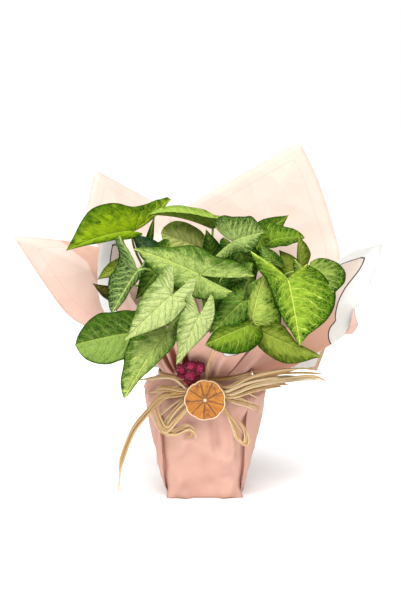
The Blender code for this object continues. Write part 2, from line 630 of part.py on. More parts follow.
def strand(points, collection):
    """A flat strip that keeps its face to the front."""
    path = smooth_path([seen(*p) for p in points], 2)
    last = len(path) - 1
    front = Vector((0, -1, 0))
    frames = []
    for i in range(last + 1):
        tangent = (path[min(i + 1, last)] - path[max(i - 1, 0)]).normalized()
        front = (front - tangent * front.dot(tangent)).normalized()
        frames.append((front, tangent.cross(front)))
    corners = [(1, 1), (-1, 1), (-1, -1), (1, -1)]

    def place(u, v):
        i = round(v * last)
        out, across = corners[round(4 * u) % 4]
        return path[i] + frames[i][0] * out * STRAND_THICK / 2 + frames[i][1] * across * STRAND_WIDTH / 2

    bm = bmesh.new()
    verts = add_surface(bm, 4, last, place)
    bmesh.ops.remove_doubles(bm, verts=verts, dist=2e-6)
    bmesh.ops.holes_fill(bm, edges=[e for e in bm.edges if e.is_boundary], sides=4)
    return mesh_object("strand", bm, collection)


def raffia(collection, look):
    bm = bmesh.new()
    section = [
        (RING_INNER, RING_LOW), (RING_OUTER, RING_LOW), (RING_OUTER, RING_HIGH), (RING_INNER, RING_HIGH),
    ]
    add_surface(bm, 4, 36, lambda u, v: polar(360 * v, *section[round(4 * u) % 4]))
    ring = mesh_object("ring", bm, collection)
    bm = bmesh.new()
    bmesh.ops.create_uvsphere(bm, u_segments=10, v_segments=6, radius=MM)
    bmesh.ops.scale(bm, verts=bm.verts, vec=KNOT_SIZE)
    bmesh.ops.translate(bm, verts=bm.verts, vec=KNOT * MM)
    knot = mesh_object("knot", bm, collection)
    union("raffia_tie", [ring, knot] + [strand(points, collection) for points in STRANDS], look)


def orange_slice(collection, look):
    """A dried slice across the fruit: a thin disc with a scalloped rim, standing on edge at the front."""
    centre = seen(*SLICE_AT) * MM
    bm = bmesh.new()
    bmesh.ops.create_cone(bm, cap_ends=True, segments=36, radius1=SLICE_RADIUS * MM,
                          radius2=SLICE_RADIUS * MM, depth=SLICE_THICKNESS * MM)
    for vert in bm.verts:
        turn = math.atan2(vert.co.y, vert.co.x)
        swell = 1 - 0.03 * abs(math.sin(4.5 * turn))
        vert.co = Vector((vert.co.x * swell, -vert.co.z, vert.co.y * swell)) + centre
    mesh_object("orange_slice", bm, collection, look)


# Where each lobe of the flower head sits from its middle, and its radius.
LOBES = [
    ((0, -1, 1), 9.0), ((-9, -2, 6), 5.5), ((8, -5, 8), 6), ((-5, 0, -8), 5.5), ((0, -6, 10), 5.5),
    ((-9, 0, -3), 5.5),
]


def flower(collection, look):
    """A dried crimson head of ruffled lobes on a short stalk that ends against the raffia band."""
    centre = seen(*FLOWER_AT)
    rng = random.Random(5)
    pieces = []
    for offset, radius in LOBES:
        bm = bmesh.new()
        bmesh.ops.create_icosphere(bm, subdivisions=2, radius=radius * MM)
        for vert in bm.verts:
            flattened = Vector((vert.co.x, vert.co.y * 0.75, vert.co.z))
            vert.co = flattened * rng.uniform(0.93, 1.05) + (centre + Vector(offset)) * MM
        pieces.append(mesh_object("lobe", bm, collection))
    against_band = polar(-12.5, RING_OUTER + STALK_GAP, (RING_LOW + RING_HIGH) / 2)
    stalk = [centre, centre + Vector((0, 6, -6)), against_band]
    pieces.append(tube("stalk", stalk, [STALK_RADIUS] * 3, 1, collection))
    union("crimson_flower", pieces, look)


clear_scene()
parts = new_collection("arrowhead_plant")

nursery_pot(parts, material("pot_plastic", (0.03, 0.03, 0.03), 0.5))
potting_soil(parts, material("potting_soil", (0.06, 0.035, 0.02), 0.9))

leaf_look = material("leaf", (0.19, 0.36, 0.05), 0.45)
for stem_name, (stem_foot, stem_leaves) in STEMS.items():
    leafy_stem(stem_name, stem_foot, stem_leaves, parts, leaf_look)

paper_look = material("salmon_paper", (0.80, 0.46, 0.36), 0.65)
main_sheet(parts, paper_look)
back_sheet("wrap_left_sheet", LEFT_RIM, LEFT_FOOT, LEFT_NECK, parts, paper_look)
back_sheet("wrap_right_sheet", RIGHT_RIM, RIGHT_FOOT, RIGHT_NECK, parts, paper_look)

raffia(parts, material("raffia", (0.62, 0.45, 0.22), 0.6))
orange_slice(parts, material("dried_orange", (0.75, 0.30, 0.04), 0.5))
flower(parts, material("crimson_petals", (0.45, 0.01, 0.09), 0.7))
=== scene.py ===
import math
import random
from bisect import bisect

import bmesh
import bpy
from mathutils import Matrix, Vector, noise
from mathutils.geometry import interpolate_bezier
from mathutils.kdtree import KDTree


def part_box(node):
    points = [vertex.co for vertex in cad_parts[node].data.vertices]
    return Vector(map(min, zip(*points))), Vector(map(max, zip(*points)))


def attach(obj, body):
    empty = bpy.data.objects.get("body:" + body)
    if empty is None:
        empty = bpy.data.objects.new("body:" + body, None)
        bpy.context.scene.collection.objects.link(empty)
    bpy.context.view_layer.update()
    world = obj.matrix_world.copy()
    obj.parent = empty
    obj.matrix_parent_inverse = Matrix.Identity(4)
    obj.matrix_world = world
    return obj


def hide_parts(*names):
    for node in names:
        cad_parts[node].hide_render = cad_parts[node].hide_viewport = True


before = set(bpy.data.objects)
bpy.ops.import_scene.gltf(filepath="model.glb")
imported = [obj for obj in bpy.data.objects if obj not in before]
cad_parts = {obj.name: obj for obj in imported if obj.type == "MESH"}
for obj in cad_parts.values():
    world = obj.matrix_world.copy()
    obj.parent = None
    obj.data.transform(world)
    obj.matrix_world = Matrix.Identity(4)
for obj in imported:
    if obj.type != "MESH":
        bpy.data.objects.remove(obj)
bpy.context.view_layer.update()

# The view. A camera 1.5 m in front and 8 degrees above the level, aimed a little over the middle,
# so that one picture point is about one millimetre at the pot. Leaves and paper edges were set out
# on it, as (right of the axis, above the table, depth) in mm.
MM = 0.001
PICTURE_HEIGHT = 601
SENSOR = 36.0
EYE_DISTANCE, EYE_PITCH, EYE_HEIGHT, EYE_AIM = 1500.0, math.radians(8), 193.0, (-4.5, 196.5)
UP = Vector((0, 0, 1))
AHEAD = Vector((0, math.cos(EYE_PITCH), -math.sin(EYE_PITCH)))
EYE = Vector((EYE_AIM[0], 0, EYE_HEIGHT)) - EYE_DISTANCE * AHEAD


def seen(right, up, depth):
    """The point at this depth that the front view shows this far right of the axis and above the table."""
    over = Vector((0, math.sin(EYE_PITCH), math.cos(EYE_PITCH)))
    ray = AHEAD + over * (up - EYE_AIM[1]) / EYE_DISTANCE
    ray.x = (right - EYE_AIM[0]) / EYE_DISTANCE
    return EYE + ray * (depth - EYE.y) / ray.y


camera_data = bpy.data.cameras.new("front_view")
camera_data.sensor_fit = "VERTICAL"
camera_data.sensor_height = SENSOR
camera_data.lens = SENSOR * EYE_DISTANCE / PICTURE_HEIGHT
camera_data.clip_end = 20
camera = bpy.data.objects.new("front_view", camera_data)
camera.location = EYE * MM
camera.rotation_euler = (math.pi / 2 - EYE_PITCH, 0, 0)
bpy.context.scene.collection.objects.link(camera)
bpy.context.scene.camera = camera


# Nursery pot. A thin black injection-moulded pot of polypropylene with a rolled rim and drain holes,
# hidden by the wrapping. Its shape is the model's own; it only gets its satin plastic here.
def tint(code):
    """Scene colour of a six-digit screen colour."""
    parts = [int(code[i : i + 2], 16) / 255 for i in (0, 2, 4)]
    return tuple(c / 12.92 if c <= 0.04045 else ((c + 0.055) / 1.055) ** 2.4 for c in parts)


class Finish:
    """A material on one Principled shader, with short names for the nodes it is made of."""

    def __init__(self, name, roughness, **settings):
        self.material = bpy.data.materials.new(name)
        self.material.use_nodes = True
        self.tree = self.material.node_tree
        self.shader = self.tree.nodes["Principled BSDF"]
        self.shader.inputs["Roughness"].default_value = roughness
        for key, value in settings.items():
            self.shader.inputs[key.replace("_", " ")].default_value = value

    def put(self, socket, value):
        if isinstance(value, bpy.types.NodeSocket):
            self.tree.links.new(value, socket)
        elif isinstance(value, tuple) and len(value) == 3 and socket.type == "RGBA":
            socket.default_value = (*value, 1)
        else:
            socket.default_value = value

    def node(self, kind, inputs, **settings):
        made = self.tree.nodes.new("ShaderNode" + kind)
        for key, value in settings.items():
            setattr(made, key, value)
        for key, value in inputs.items():
            self.put(made.inputs[key], value)
        return made

    def calc(self, operation, *values):
        return self.node("Math", dict(enumerate(values)), operation=operation).outputs[0]

    def times(self, a, b):
        return self.calc("MULTIPLY", a, b)

    def plus(self, a, b):
        return self.calc("ADD", a, b)

    def most(self, a, b):
        return self.calc("MAXIMUM", a, b)

    def fade(self, value, low, high):
        """0 below low and 1 above high, or the other way round where low is the larger."""
        ends = {0: value, 1: low, 2: high, 3: 0.0, 4: 1.0}
        return self.node("MapRange", ends, interpolation_type="SMOOTHSTEP").outputs[0]

    def blend(self, amount, a, b, how="MIX"):
        mixed = self.node("Mix", {0: amount, 6: a, 7: b}, data_type="RGBA", blend_type=how)
        return mixed.outputs[2]

    def grain(self, place, scale, detail=3.0, rough=0.55, squash=(1, 1, 1), warp=0.0):
        laid = self.node("Mapping", {"Vector": place, "Scale": squash}).outputs[0]
        inputs = {"Vector": laid, "Scale": scale, "Detail": detail, "Roughness": rough, "Distortion": warp}
        return self.node("TexNoise", inputs).outputs[0]

    def place(self):
        return self.node("TexCoord", {}).outputs["Object"]

    def lay(self, name):
        return self.node("UVMap", {}, uv_map=name).outputs[0]

    def split(self, place):
        return self.node("SeparateXYZ", {0: place}).outputs[:]

    def carried(self, name):
        """A colour that the mesh carries."""
        return self.node("Attribute", {}, attribute_name=name).outputs["Color"]

    def colour(self, value):
        self.put(self.shader.inputs["Base Color"], value)

    def gloss(self, value, low, high):
        """Roughness from low to high as the value goes from 0 to 1."""
        ends = {0: value, 1: 0.0, 2: 1.0, 3: low, 4: high}
        self.put(self.shader.inputs["Roughness"], self.node("MapRange", ends).outputs[0])

    def relief(self, height, depth_mm, strength=1.0):
        """Fine relief, this deep for a height of 1. It goes over any relief put on before."""
        inputs = {"Height": height, "Distance": depth_mm * MM, "Strength": strength}
        if self.shader.inputs["Normal"].is_linked:
            inputs["Normal"] = self.shader.inputs["Normal"].links[0].from_socket
        self.put(self.shader.inputs["Normal"], self.node("Bump", inputs).outputs[0])


def take_finish(node_name, finish):
    """Puts a finish on the model's own solid."""
    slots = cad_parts[node_name].data.materials
    slots.clear()
    slots.append(finish.material)


pot_plastic = Finish("pot_plastic", 0.45)
moulded = pot_plastic.grain(pot_plastic.place(), 900, 3)
pot_plastic.colour(pot_plastic.blend(moulded, tint("151515"), tint("232322")))
pot_plastic.gloss(moulded, 0.38, 0.55)
pot_plastic.relief(moulded, 0.05)
take_finish("pot", pot_plastic)


# Potting soil. Peat and bark crumbs with a few white grains of perlite, filled to a finger's width below the
# pot's rim.
POT_TOP, POT_BASE, POT_HEIGHT, POT_WALL, POT_FLOOR = 57.0, 35.6, 100.0, 1.2, 1.0
SOIL_TOP, SOIL_GAP, SOIL_ROUGH = 90.0, 0.35, 1.6
SOIL_EDGE, SOIL_FOOT = 0.8, 0.95
CRUMBS, PERLITE = 420, 46
CRUMB_RADII, PERLITE_RADII = (0.8, 2.4), (0.9, 1.8)
CRUMB_REACH, CRUMB_SINK = 52, 1.6
MERGE_MM = 0.002


def lerp(a, b, t):
    return a + (b - a) * t


def polar(angle, radius, height):
    """Angles run from the front, -Y, towards +X."""
    a = math.radians(angle)
    return Vector((radius * math.sin(a), -radius * math.cos(a), height))


def pot_radius(height):
    return lerp(POT_BASE, POT_TOP, (height - POT_FLOOR) / POT_HEIGHT)


def clip(value):
    return min(1, max(0, value))


def merge(bm, verts, merge_mm=MERGE_MM):
    bmesh.ops.remove_doubles(bm, verts=verts, dist=merge_mm * MM)


def mark(verts, layer, value):
    """Gives these points a grey value for the material to read."""
    for vert in verts:
        vert[layer] = (value, value, value, 1)


def add_surface(bm, across, along, place, maps=(), finish_number=0):
    """A grid of this many quads. Its points go where place(a, b) says in mm, a and b from 0 to 1, and
    each (layer, lay) of maps gives a UV map its place for a and b."""
    made = bmesh.ops.create_grid(bm, x_segments=across, y_segments=along, size=0.5)["verts"]
    spots = {vert: (vert.co.x + 0.5, vert.co.y + 0.5) for vert in made}
    faces = list(dict.fromkeys(face for vert in made for face in vert.link_faces))
    for face in faces:
        face.material_index = finish_number
        for layer, lay in maps:
            for loop in face.loops:
                loop[layer].uv = lay(*spots[loop.vert])
    for vert, spot in spots.items():
        vert.co = place(*spot) * MM
    return made


def add_piece(name, bm, finishes, stands_for):
    """Makes the mesh the piece that stands for a solid of the model."""
    mesh = bpy.data.meshes.new(name)
    bm.to_mesh(mesh)
    bm.free()
    mesh.shade_smooth()
    piece = bpy.data.objects.new(name, mesh)
    bpy.context.scene.collection.objects.link(piece)
    for finish in finishes:
        mesh.materials.append(finish.material)
    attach(piece, "root")
    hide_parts(stands_for)
    return piece


def finish_piece(name, bm, finishes, stands_for, merge_mm=MERGE_MM):
    """Closes the mesh, turns it outwards and makes it a piece."""
    merge(bm, bm.verts, merge_mm)
    bmesh.ops.recalc_face_normals(bm, faces=bm.faces)
    add_piece(name, bm, finishes, stands_for)


def soil_point(a, b):
    """Round the surface with a, and from its middle over the edge and down to the floor with b."""
    rim = pot_radius(SOIL_TOP) - POT_WALL - SOIL_GAP
    low = POT_FLOOR + POT_WALL + 0.4
    foot = pot_radius(low) - POT_WALL - SOIL_GAP
    if b < SOIL_EDGE:
        point = polar(360 * a, rim * b / SOIL_EDGE, SOIL_TOP)
        rough = noise.fractal(point * 0.12, 1.0, 2.0, 4) * SOIL_ROUGH
        return point + UP * (rough - SOIL_ROUGH) * min(1, (SOIL_EDGE - b) * 12)
    if b < SOIL_FOOT:
        return polar(360 * a, foot, low) if b > 0.9 else polar(360 * a, rim, SOIL_TOP)
    return Vector((0, 0, low))


soil_draw = random.Random(11)
bm = bmesh.new()
add_surface(bm, 72, 40, soil_point)
white_grain = bm.verts.layers.float_color.new("grain")
for count in range(CRUMBS + PERLITE):
    crumb = bmesh.ops.create_icosphere(bm, subdivisions=1, radius=MM)["verts"]
    radius = soil_draw.uniform(*(CRUMB_RADII if count < CRUMBS else PERLITE_RADII))
    turn, out = soil_draw.uniform(0, 360), CRUMB_REACH * math.sqrt(soil_draw.random())
    middle = polar(turn, out, SOIL_TOP - CRUMB_SINK)
    stretch = Vector([soil_draw.uniform(0.6, 1.3) for _ in range(3)])
    shade = soil_draw.uniform(0.0, 0.35) if count < CRUMBS else 1.0
    for vert in crumb:
        vert.co = (vert.co * radius * soil_draw.uniform(0.8, 1.15)) * stretch + middle * MM
    mark(crumb, white_grain, shade)
soil_look = Finish("potting_soil", 0.95, Specular_IOR_Level=0.2)
peat = soil_look.grain(soil_look.place(), 380, 6, 0.7)
grain = soil_look.split(soil_look.carried("grain"))[0]
earth = soil_look.blend(peat, tint("1B120C"), tint("4A3524"))
bark = soil_look.blend(peat, tint("3A281A"), tint("6B4E36"))
earth = soil_look.blend(soil_look.fade(grain, 0.0, 0.5), earth, bark)
soil_look.colour(soil_look.blend(soil_look.fade(grain, 0.6, 0.95), earth, tint("DAD6CC")))
soil_look.relief(peat, 0.8)
finish_piece("soil_crumbs", bm, [soil_look], "soil")


# Leafy stems. Eight short stems stand in the soil, and each leaf rises on its own round stalk that
# bends over the edge of the paper. A blade is a thin arrowhead with two back lobes, a sunken midrib,
# side veins that sweep to the tip and quilting between them, in greens marbled with cream.
STEM_RADIUS, STEM_FOOT, CROWN = 3.2, 58.0, 108.0
STALK_BASE, STALK_END, STALK_POINTS, STALK_SIDES = 1.9, 1.0, 30, 10
STALK_LEAN, STALK_BEND, STALK_GROOVE = 0.10, 0.32, 0.25
SHEATH_THICK, SHEATH_PART, FLARE_THICK, FLARE_PART = 0.5, 0.35, 0.25, 0.08
LEAF_HALF, EDGE_TAPER, WAVES = 0.28, 0.12, 2.6
COLUMNS, COLUMN_CROWDING, LOBE_ROWS, BLADE_ROWS = 12, 1.2, 16, 32
NOTCH_CURVE = 1.3
MARGIN_STEPS = 6
ARROWHEAD = [(-42, 20), (-37, 31), (-16, 37), (8, 36), (34, 31), (60, 20), (84, 7)]
SIDE_VEINS, LOBE_VEINS, VEIN_SWEEP, VEIN_WANDER = 7.0, 0.62, 0.34, 1.1
LOBE_RIB = 0.38
MIDRIB_SUNK, MIDRIB_WIDE, MIDRIB_BELOW = 0.7, 1.3, 0.9
USUAL_LENGTH = 70
PATTERN_MM = 10
LEAF_SHADE = 0.445
LEAF_TURN, LEAF_STEP, LEAF_OUT = 137.5, 1.3, 1.6
# Where a stem is ringed by old leaf bases: part of its height, part of its radius.
STEM_RINGS = [(0, 1), (0.5, 1), (0.68, 0.96), (0.7, 1.08), (0.72, 0.97), (0.86, 0.95), (0.88, 1.06),
              (0.9, 0.92), (1, 0.7)]


def smooth_path(points, per_span):
    """A Catmull-Rom curve through the points."""
    ends = [points[0] * 2 - points[1], *points, points[-1] * 2 - points[-2]]
    out = [points[0]]
    for i in range(1, len(ends) - 2):
        before, a, b, after = ends[i - 1 : i + 3]
        knots = interpolate_bezier(a, a + (b - before) / 6, b - (after - a) / 6, b, per_span + 1)
        out += knots[1:]
    return out


class Margin:
    """The margin of one half as a smooth line, measured by its length from 0 at the lobe to 1 at the tip."""

    def __init__(self, points, girth):
        knots = [Vector((along, out * girth, 0)) / 100 for along, out in points] + [Vector((1, 0, 0))]
        self.path = smooth_path(knots, MARGIN_STEPS)
        steps = [(b - a).length for a, b in zip(self.path, self.path[1:])]
        self.runs = [sum(steps[:i]) / sum(steps) for i in range(len(self.path))]
        self.beside = next(run for run, point in zip(self.runs, self.path) if point.x >= 0)
        self.back = max(0.05, -min(point.x for point in self.path))
        self.width = max(point.y for point in self.path)

    def at(self, run):
        i = min(max(bisect(self.runs, run) - 1, 0), len(self.path) - 2)
        return lerp(self.path[i], self.path[i + 1], (run - self.runs[i]) / (self.runs[i + 1] - self.runs[i]))


def arc(x, turn):
    """Distance ahead, height and slope at x along an arc that bends down by this turn in a leaf length."""
    if abs(turn) < 1e-6:
        return x, 0.0, 0.0
    return math.sin(turn * x) / turn, (math.cos(turn * x) - 1) / turn, turn * x


def pair(value):
    return value if isinstance(value, tuple) else (value, value)


# Deep green, cream, how much cream (left and right half), how pale the veins are, speckle, quilting.
TONES = {
    "lime": ("568000", "A0C210", 0.42, 0.35, 0.05, 0.6),
    "cream": ("6C9420", "DEEE9A", (0.8, 0.56), 0.3, 0.75, 0.45),
    "marbled": ("487806", "C6DE78", (0.5, 0.4), 0.8, 1.0, 0.8),
    "speckled": ("4C7A10", "C4DC78", (0.52, 0.4), 0.5, 1.0, 0.6),
    "mottled": ("347006", "A8D05A", 0.42, 0.6, 1.0, 0.8),
    "two_tone": ("3E6A04", "9CBC58", (0.78, 0.1), 0.4, 0.6, 0.4),
    "dark_veined": ("2C5810", "A8C878", 0.16, 1.0, 0.1, 0.9),
    "forest": ("347404", "A0CC54", 0.28, 0.9, 0.12, 0.9),
    "dark": ("2C6004", "7CA434", 0.3, 0.5, 0.5, 0.7),
    "deep": ("245208", "5C8A24", 0.3, 0.4, 0.3, 0.6),
    "bluish": ("2E6438", "7CA66C", 0.4, 0.3, 0.3, 0.5),
    "apple": ("3C7400", "ACD03A", 0.34, 1.0, 0.04, 1.2),
    "glossy": ("386A00", "94B630", 0.36, 0.6, 0.15, 0.8),
    # Painted light: the leaf with these colours stands in the shade of the one over it, so they are lifted
    # far above its own green.
    "painted_light_lift": ("B4DE38", "F0FA90", 0.5, 0.5, 0.3, 0.8),
    "olive": ("587404", "A6BA42", 0.44, 0.5, 0.4, 0.8),
    "pale": ("6C9E14", "BCDA5E", 0.6, 0.4, 0.2, 0.9),
    "pale_veined": ("568608", "CCE468", 0.4, 1.0, 0.08, 1.3),
    "fresh": ("386E00", "8CB42C", 0.32, 0.8, 0.05, 1.0),
    "frilly": ("2E5E08", "C0DC7C", 0.36, 0.95, 0.9, 1.2),
    "veined": ("447006", "AECA5C", 0.38, 1.0, 0.2, 1.3),
    "brown_tip": ("56581C", "8C8438", 0.3, 0.2, 0.4, 0.3),
}


class Leaf:
    """One leaf: its joint and tip, the way its upper face looks, and its margins, each as (along, out) from
    the tip of its back lobe, in hundredths of the leaf length. The left half comes before the right one,
    as seen with the tip up, and so do pairs. Angles are in degrees."""

    def __init__(self, joint, tip, facing, left=ARROWHEAD, right=None, girth=1.0, fold=12, arch=28,
                 lobe=18, cup=0.12, wave=0.02, droop=0.1,
                 rise=0.55, from_below=0.8, from_behind=0.4, via=None, tone="mottled"):
        self.joint, self.tip = seen(*joint), seen(*tip)
        self.margins = Margin(left, girth), Margin(right or left, girth)
        self.fold = [math.radians(f) for f in pair(fold)]
        self.arch, self.lobe = math.radians(arch), math.radians(lobe)
        self.cup, self.wave, self.droop = cup, wave, droop
        self.rise, self.from_below, self.from_behind, self.via = rise, from_below, from_behind, via
        self.green, self.cream, cream, self.vein, self.speckle, self.quilt = TONES[tone]
        self.creamy = pair(cream)
        chord = self.tip - self.joint
        ahead = chord.normalized()
        normal = Vector(facing)
        normal = (normal - ahead * normal.dot(ahead)).normalized()
        half = self.arch / 2
        self.x = ahead * math.cos(half) + normal * math.sin(half)
        self.z = normal * math.cos(half) - ahead * math.sin(half)
        self.y = self.z.cross(self.x)
        self.length = chord.length * half / math.sin(half)

    def flat(self, side, u, v):
        """Along and out from the joint in leaf lengths, before the blade is bent."""
        margin = self.margins[side]
        if v >= 0:
            inner, outer = Vector((v, 0, 0)), margin.at(lerp(margin.beside, 1, v))
        else:
            lobe = margin.path[0]
            inner = Vector((-v * lobe.x, (-v) ** NOTCH_CURVE * lobe.y, 0))
            outer = margin.at(margin.beside * (1 + v))
        return lerp(inner, outer, u).xy

    def vein_count(self, u, v):
        """Goes through a whole number at each side vein."""
        swept = VEIN_SWEEP * u**1.25 * (1 - abs(v)) * (1 + 0.6 * max(v, 0))
        return SIDE_VEINS * (v - swept if v >= 0 else -LOBE_VEINS * v - swept)

    def rib_distance(self, side, u, v):
        """From the midrib, or in a lobe from the lobe's own rib, in mm."""
        along, out = self.flat(side, u, v)
        if v >= 0:
            return out * self.length
        rib_along, rib_out = self.flat(side, LOBE_RIB * (-v) ** 0.7, v)
        return math.hypot(along - rib_along, out - rib_out) * self.length

    def place(self, side, u, v, above):
        """The point of this half, side 0 or 1, u from the midrib to the margin and v from -1 to 1, this
        many mm above the middle of the blade."""
        sign = 1 - 2 * side
        width = self.margins[side].width
        along, out = self.flat(side, u, v)
        across = out * math.cos(self.fold[side])
        ripple = self.wave * math.sin(2 * math.pi * (WAVES * along + 0.2 * sign))
        lift = out * math.sin(self.fold[side]) + self.cup * out * (1 - out / width)
        lift += (ripple - self.droop * width) * (out / width) ** 2 + above / self.length
        turn = self.arch if along >= 0 else -self.lobe / self.margins[side].back
        forward, down, angle = arc(along, turn)
        x, z = forward + lift * math.sin(angle), down + lift * math.cos(angle)
        return self.joint + (self.x * x + self.y * sign * across + self.z * z) * self.length


def add_blade(bm, leaf, layers, draw):
    """Upper and lower skin of both halves. The skins meet at the margin, so one merge closes the blade."""
    start = len(bm.verts)
    offset = (draw.uniform(0, 40), draw.uniform(0, 40))
    size = leaf.length / USUAL_LENGTH
    for side in (0, 1):
        sign = 1 - 2 * side

        def row(b):
            step = round(b * (LOBE_ROWS + BLADE_ROWS)) - LOBE_ROWS
            return step / LOBE_ROWS if step < 0 else step / BLADE_ROWS

        def column(a):
            return a**COLUMN_CROWDING

        def rib(u, v, wide):
            """1 on the rib and 0 beside it, and fading to its ends."""
            return math.exp(-(leaf.rib_distance(side, u, v) / wide) ** 2) * max(0.0, 1 - abs(v) ** 1.5)

        def relief(u, v):
            between = abs(math.sin(math.pi * leaf.vein_count(u, v))) ** 0.7
            inside = min(1, (1 - u) * 6) * min(1, (1 - abs(v)) * 6) * min(1, u * 5)
            return (leaf.quilt * between * inside - MIDRIB_SUNK * rib(u, v, MIDRIB_WIDE)) * size

        def thickness(u, v):
            edge = min((1 - u) / EDGE_TAPER, (1 - abs(v)) * 8, 1)
            return LEAF_HALF * max(edge, 0) * (min(1, u / 0.08) if v <= 0 else 1)

        def upper(a, b):
            u, v = column(a), row(b)
            return leaf.place(side, u, v, relief(u, v) + thickness(u, v))

        def lower(a, b):
            u, v = column(a), row(b)
            thick = thickness(u, v) * (1 + MIDRIB_BELOW * rib(u, v, 1.0) / LEAF_HALF)
            return leaf.place(side, u, v, relief(u, v) - thick)

        def flat_lay(a, b):
            along, out = leaf.flat(side, column(a), row(b)) * leaf.length / PATTERN_MM
            return offset[0] + along, offset[1] + sign * out

        maps = [
            (layers["flat"], flat_lay),
            (layers["veins"], lambda a, b: (leaf.vein_count(column(a), row(b)),
                                            leaf.rib_distance(side, column(a), row(b)) / size)),
            (layers["spread"], lambda a, b: (column(a), row(b))),
        ]
        for number, skin in enumerate((upper, lower)):
            for vert in add_surface(bm, COLUMNS, LOBE_ROWS + BLADE_ROWS, skin, maps, number):
                vert[layers["green"]] = (*[LEAF_SHADE * c for c in tint(leaf.green)], 1)
                vert[layers["cream"]] = (*[LEAF_SHADE * c for c in tint(leaf.cream)], 1)
                vert[layers["marks"]] = (leaf.creamy[side], leaf.vein, leaf.speckle, 1)
    bm.verts.ensure_lookup_table()
    merge(bm, bm.verts[start:])


def frames_along(path, front):
    """For each point of the path, the direction across it nearest to front, and the one square to both."""
    last = len(path) - 1
    for i in range(last + 1):
        tangent = (path[min(i + 1, last)] - path[max(i - 1, 0)]).normalized()
        front = (front - tangent * front.dot(tangent)).normalized()
        yield front, tangent.cross(front)


def close_ends(bm, verts, sides, finish_number=0):
    """Joins the long seam of a tube and closes both its ends."""
    merge(bm, verts)
    rims = [e for v in verts if v.is_valid for e in v.link_edges if e.is_boundary]
    for face in bmesh.ops.holes_fill(bm, edges=list(dict.fromkeys(rims)), sides=sides)["faces"]:
        face.material_index = finish_number


def add_rod(bm, path, radii, sides, finish_number, groove=0.0):
    """A closed round rod through the points, thinned along one side by a groove."""
    last = len(path) - 1
    frames = list(frames_along(path, Vector((0, -1, 0.01))))

    def place(a, b):
        i = round(b * last)
        turn = 2 * math.pi * a
        thin = 1 - groove * max(0, math.cos(turn)) ** 4
        reach = frames[i][0] * math.cos(turn) + frames[i][1] * math.sin(turn)
        return path[i] + reach * radii[i] * thin

    close_ends(bm, add_surface(bm, sides, last, place, (), finish_number), sides, finish_number)


OVER_RIM = dict(rise=0.62, from_below=0.2, from_behind=1.0)

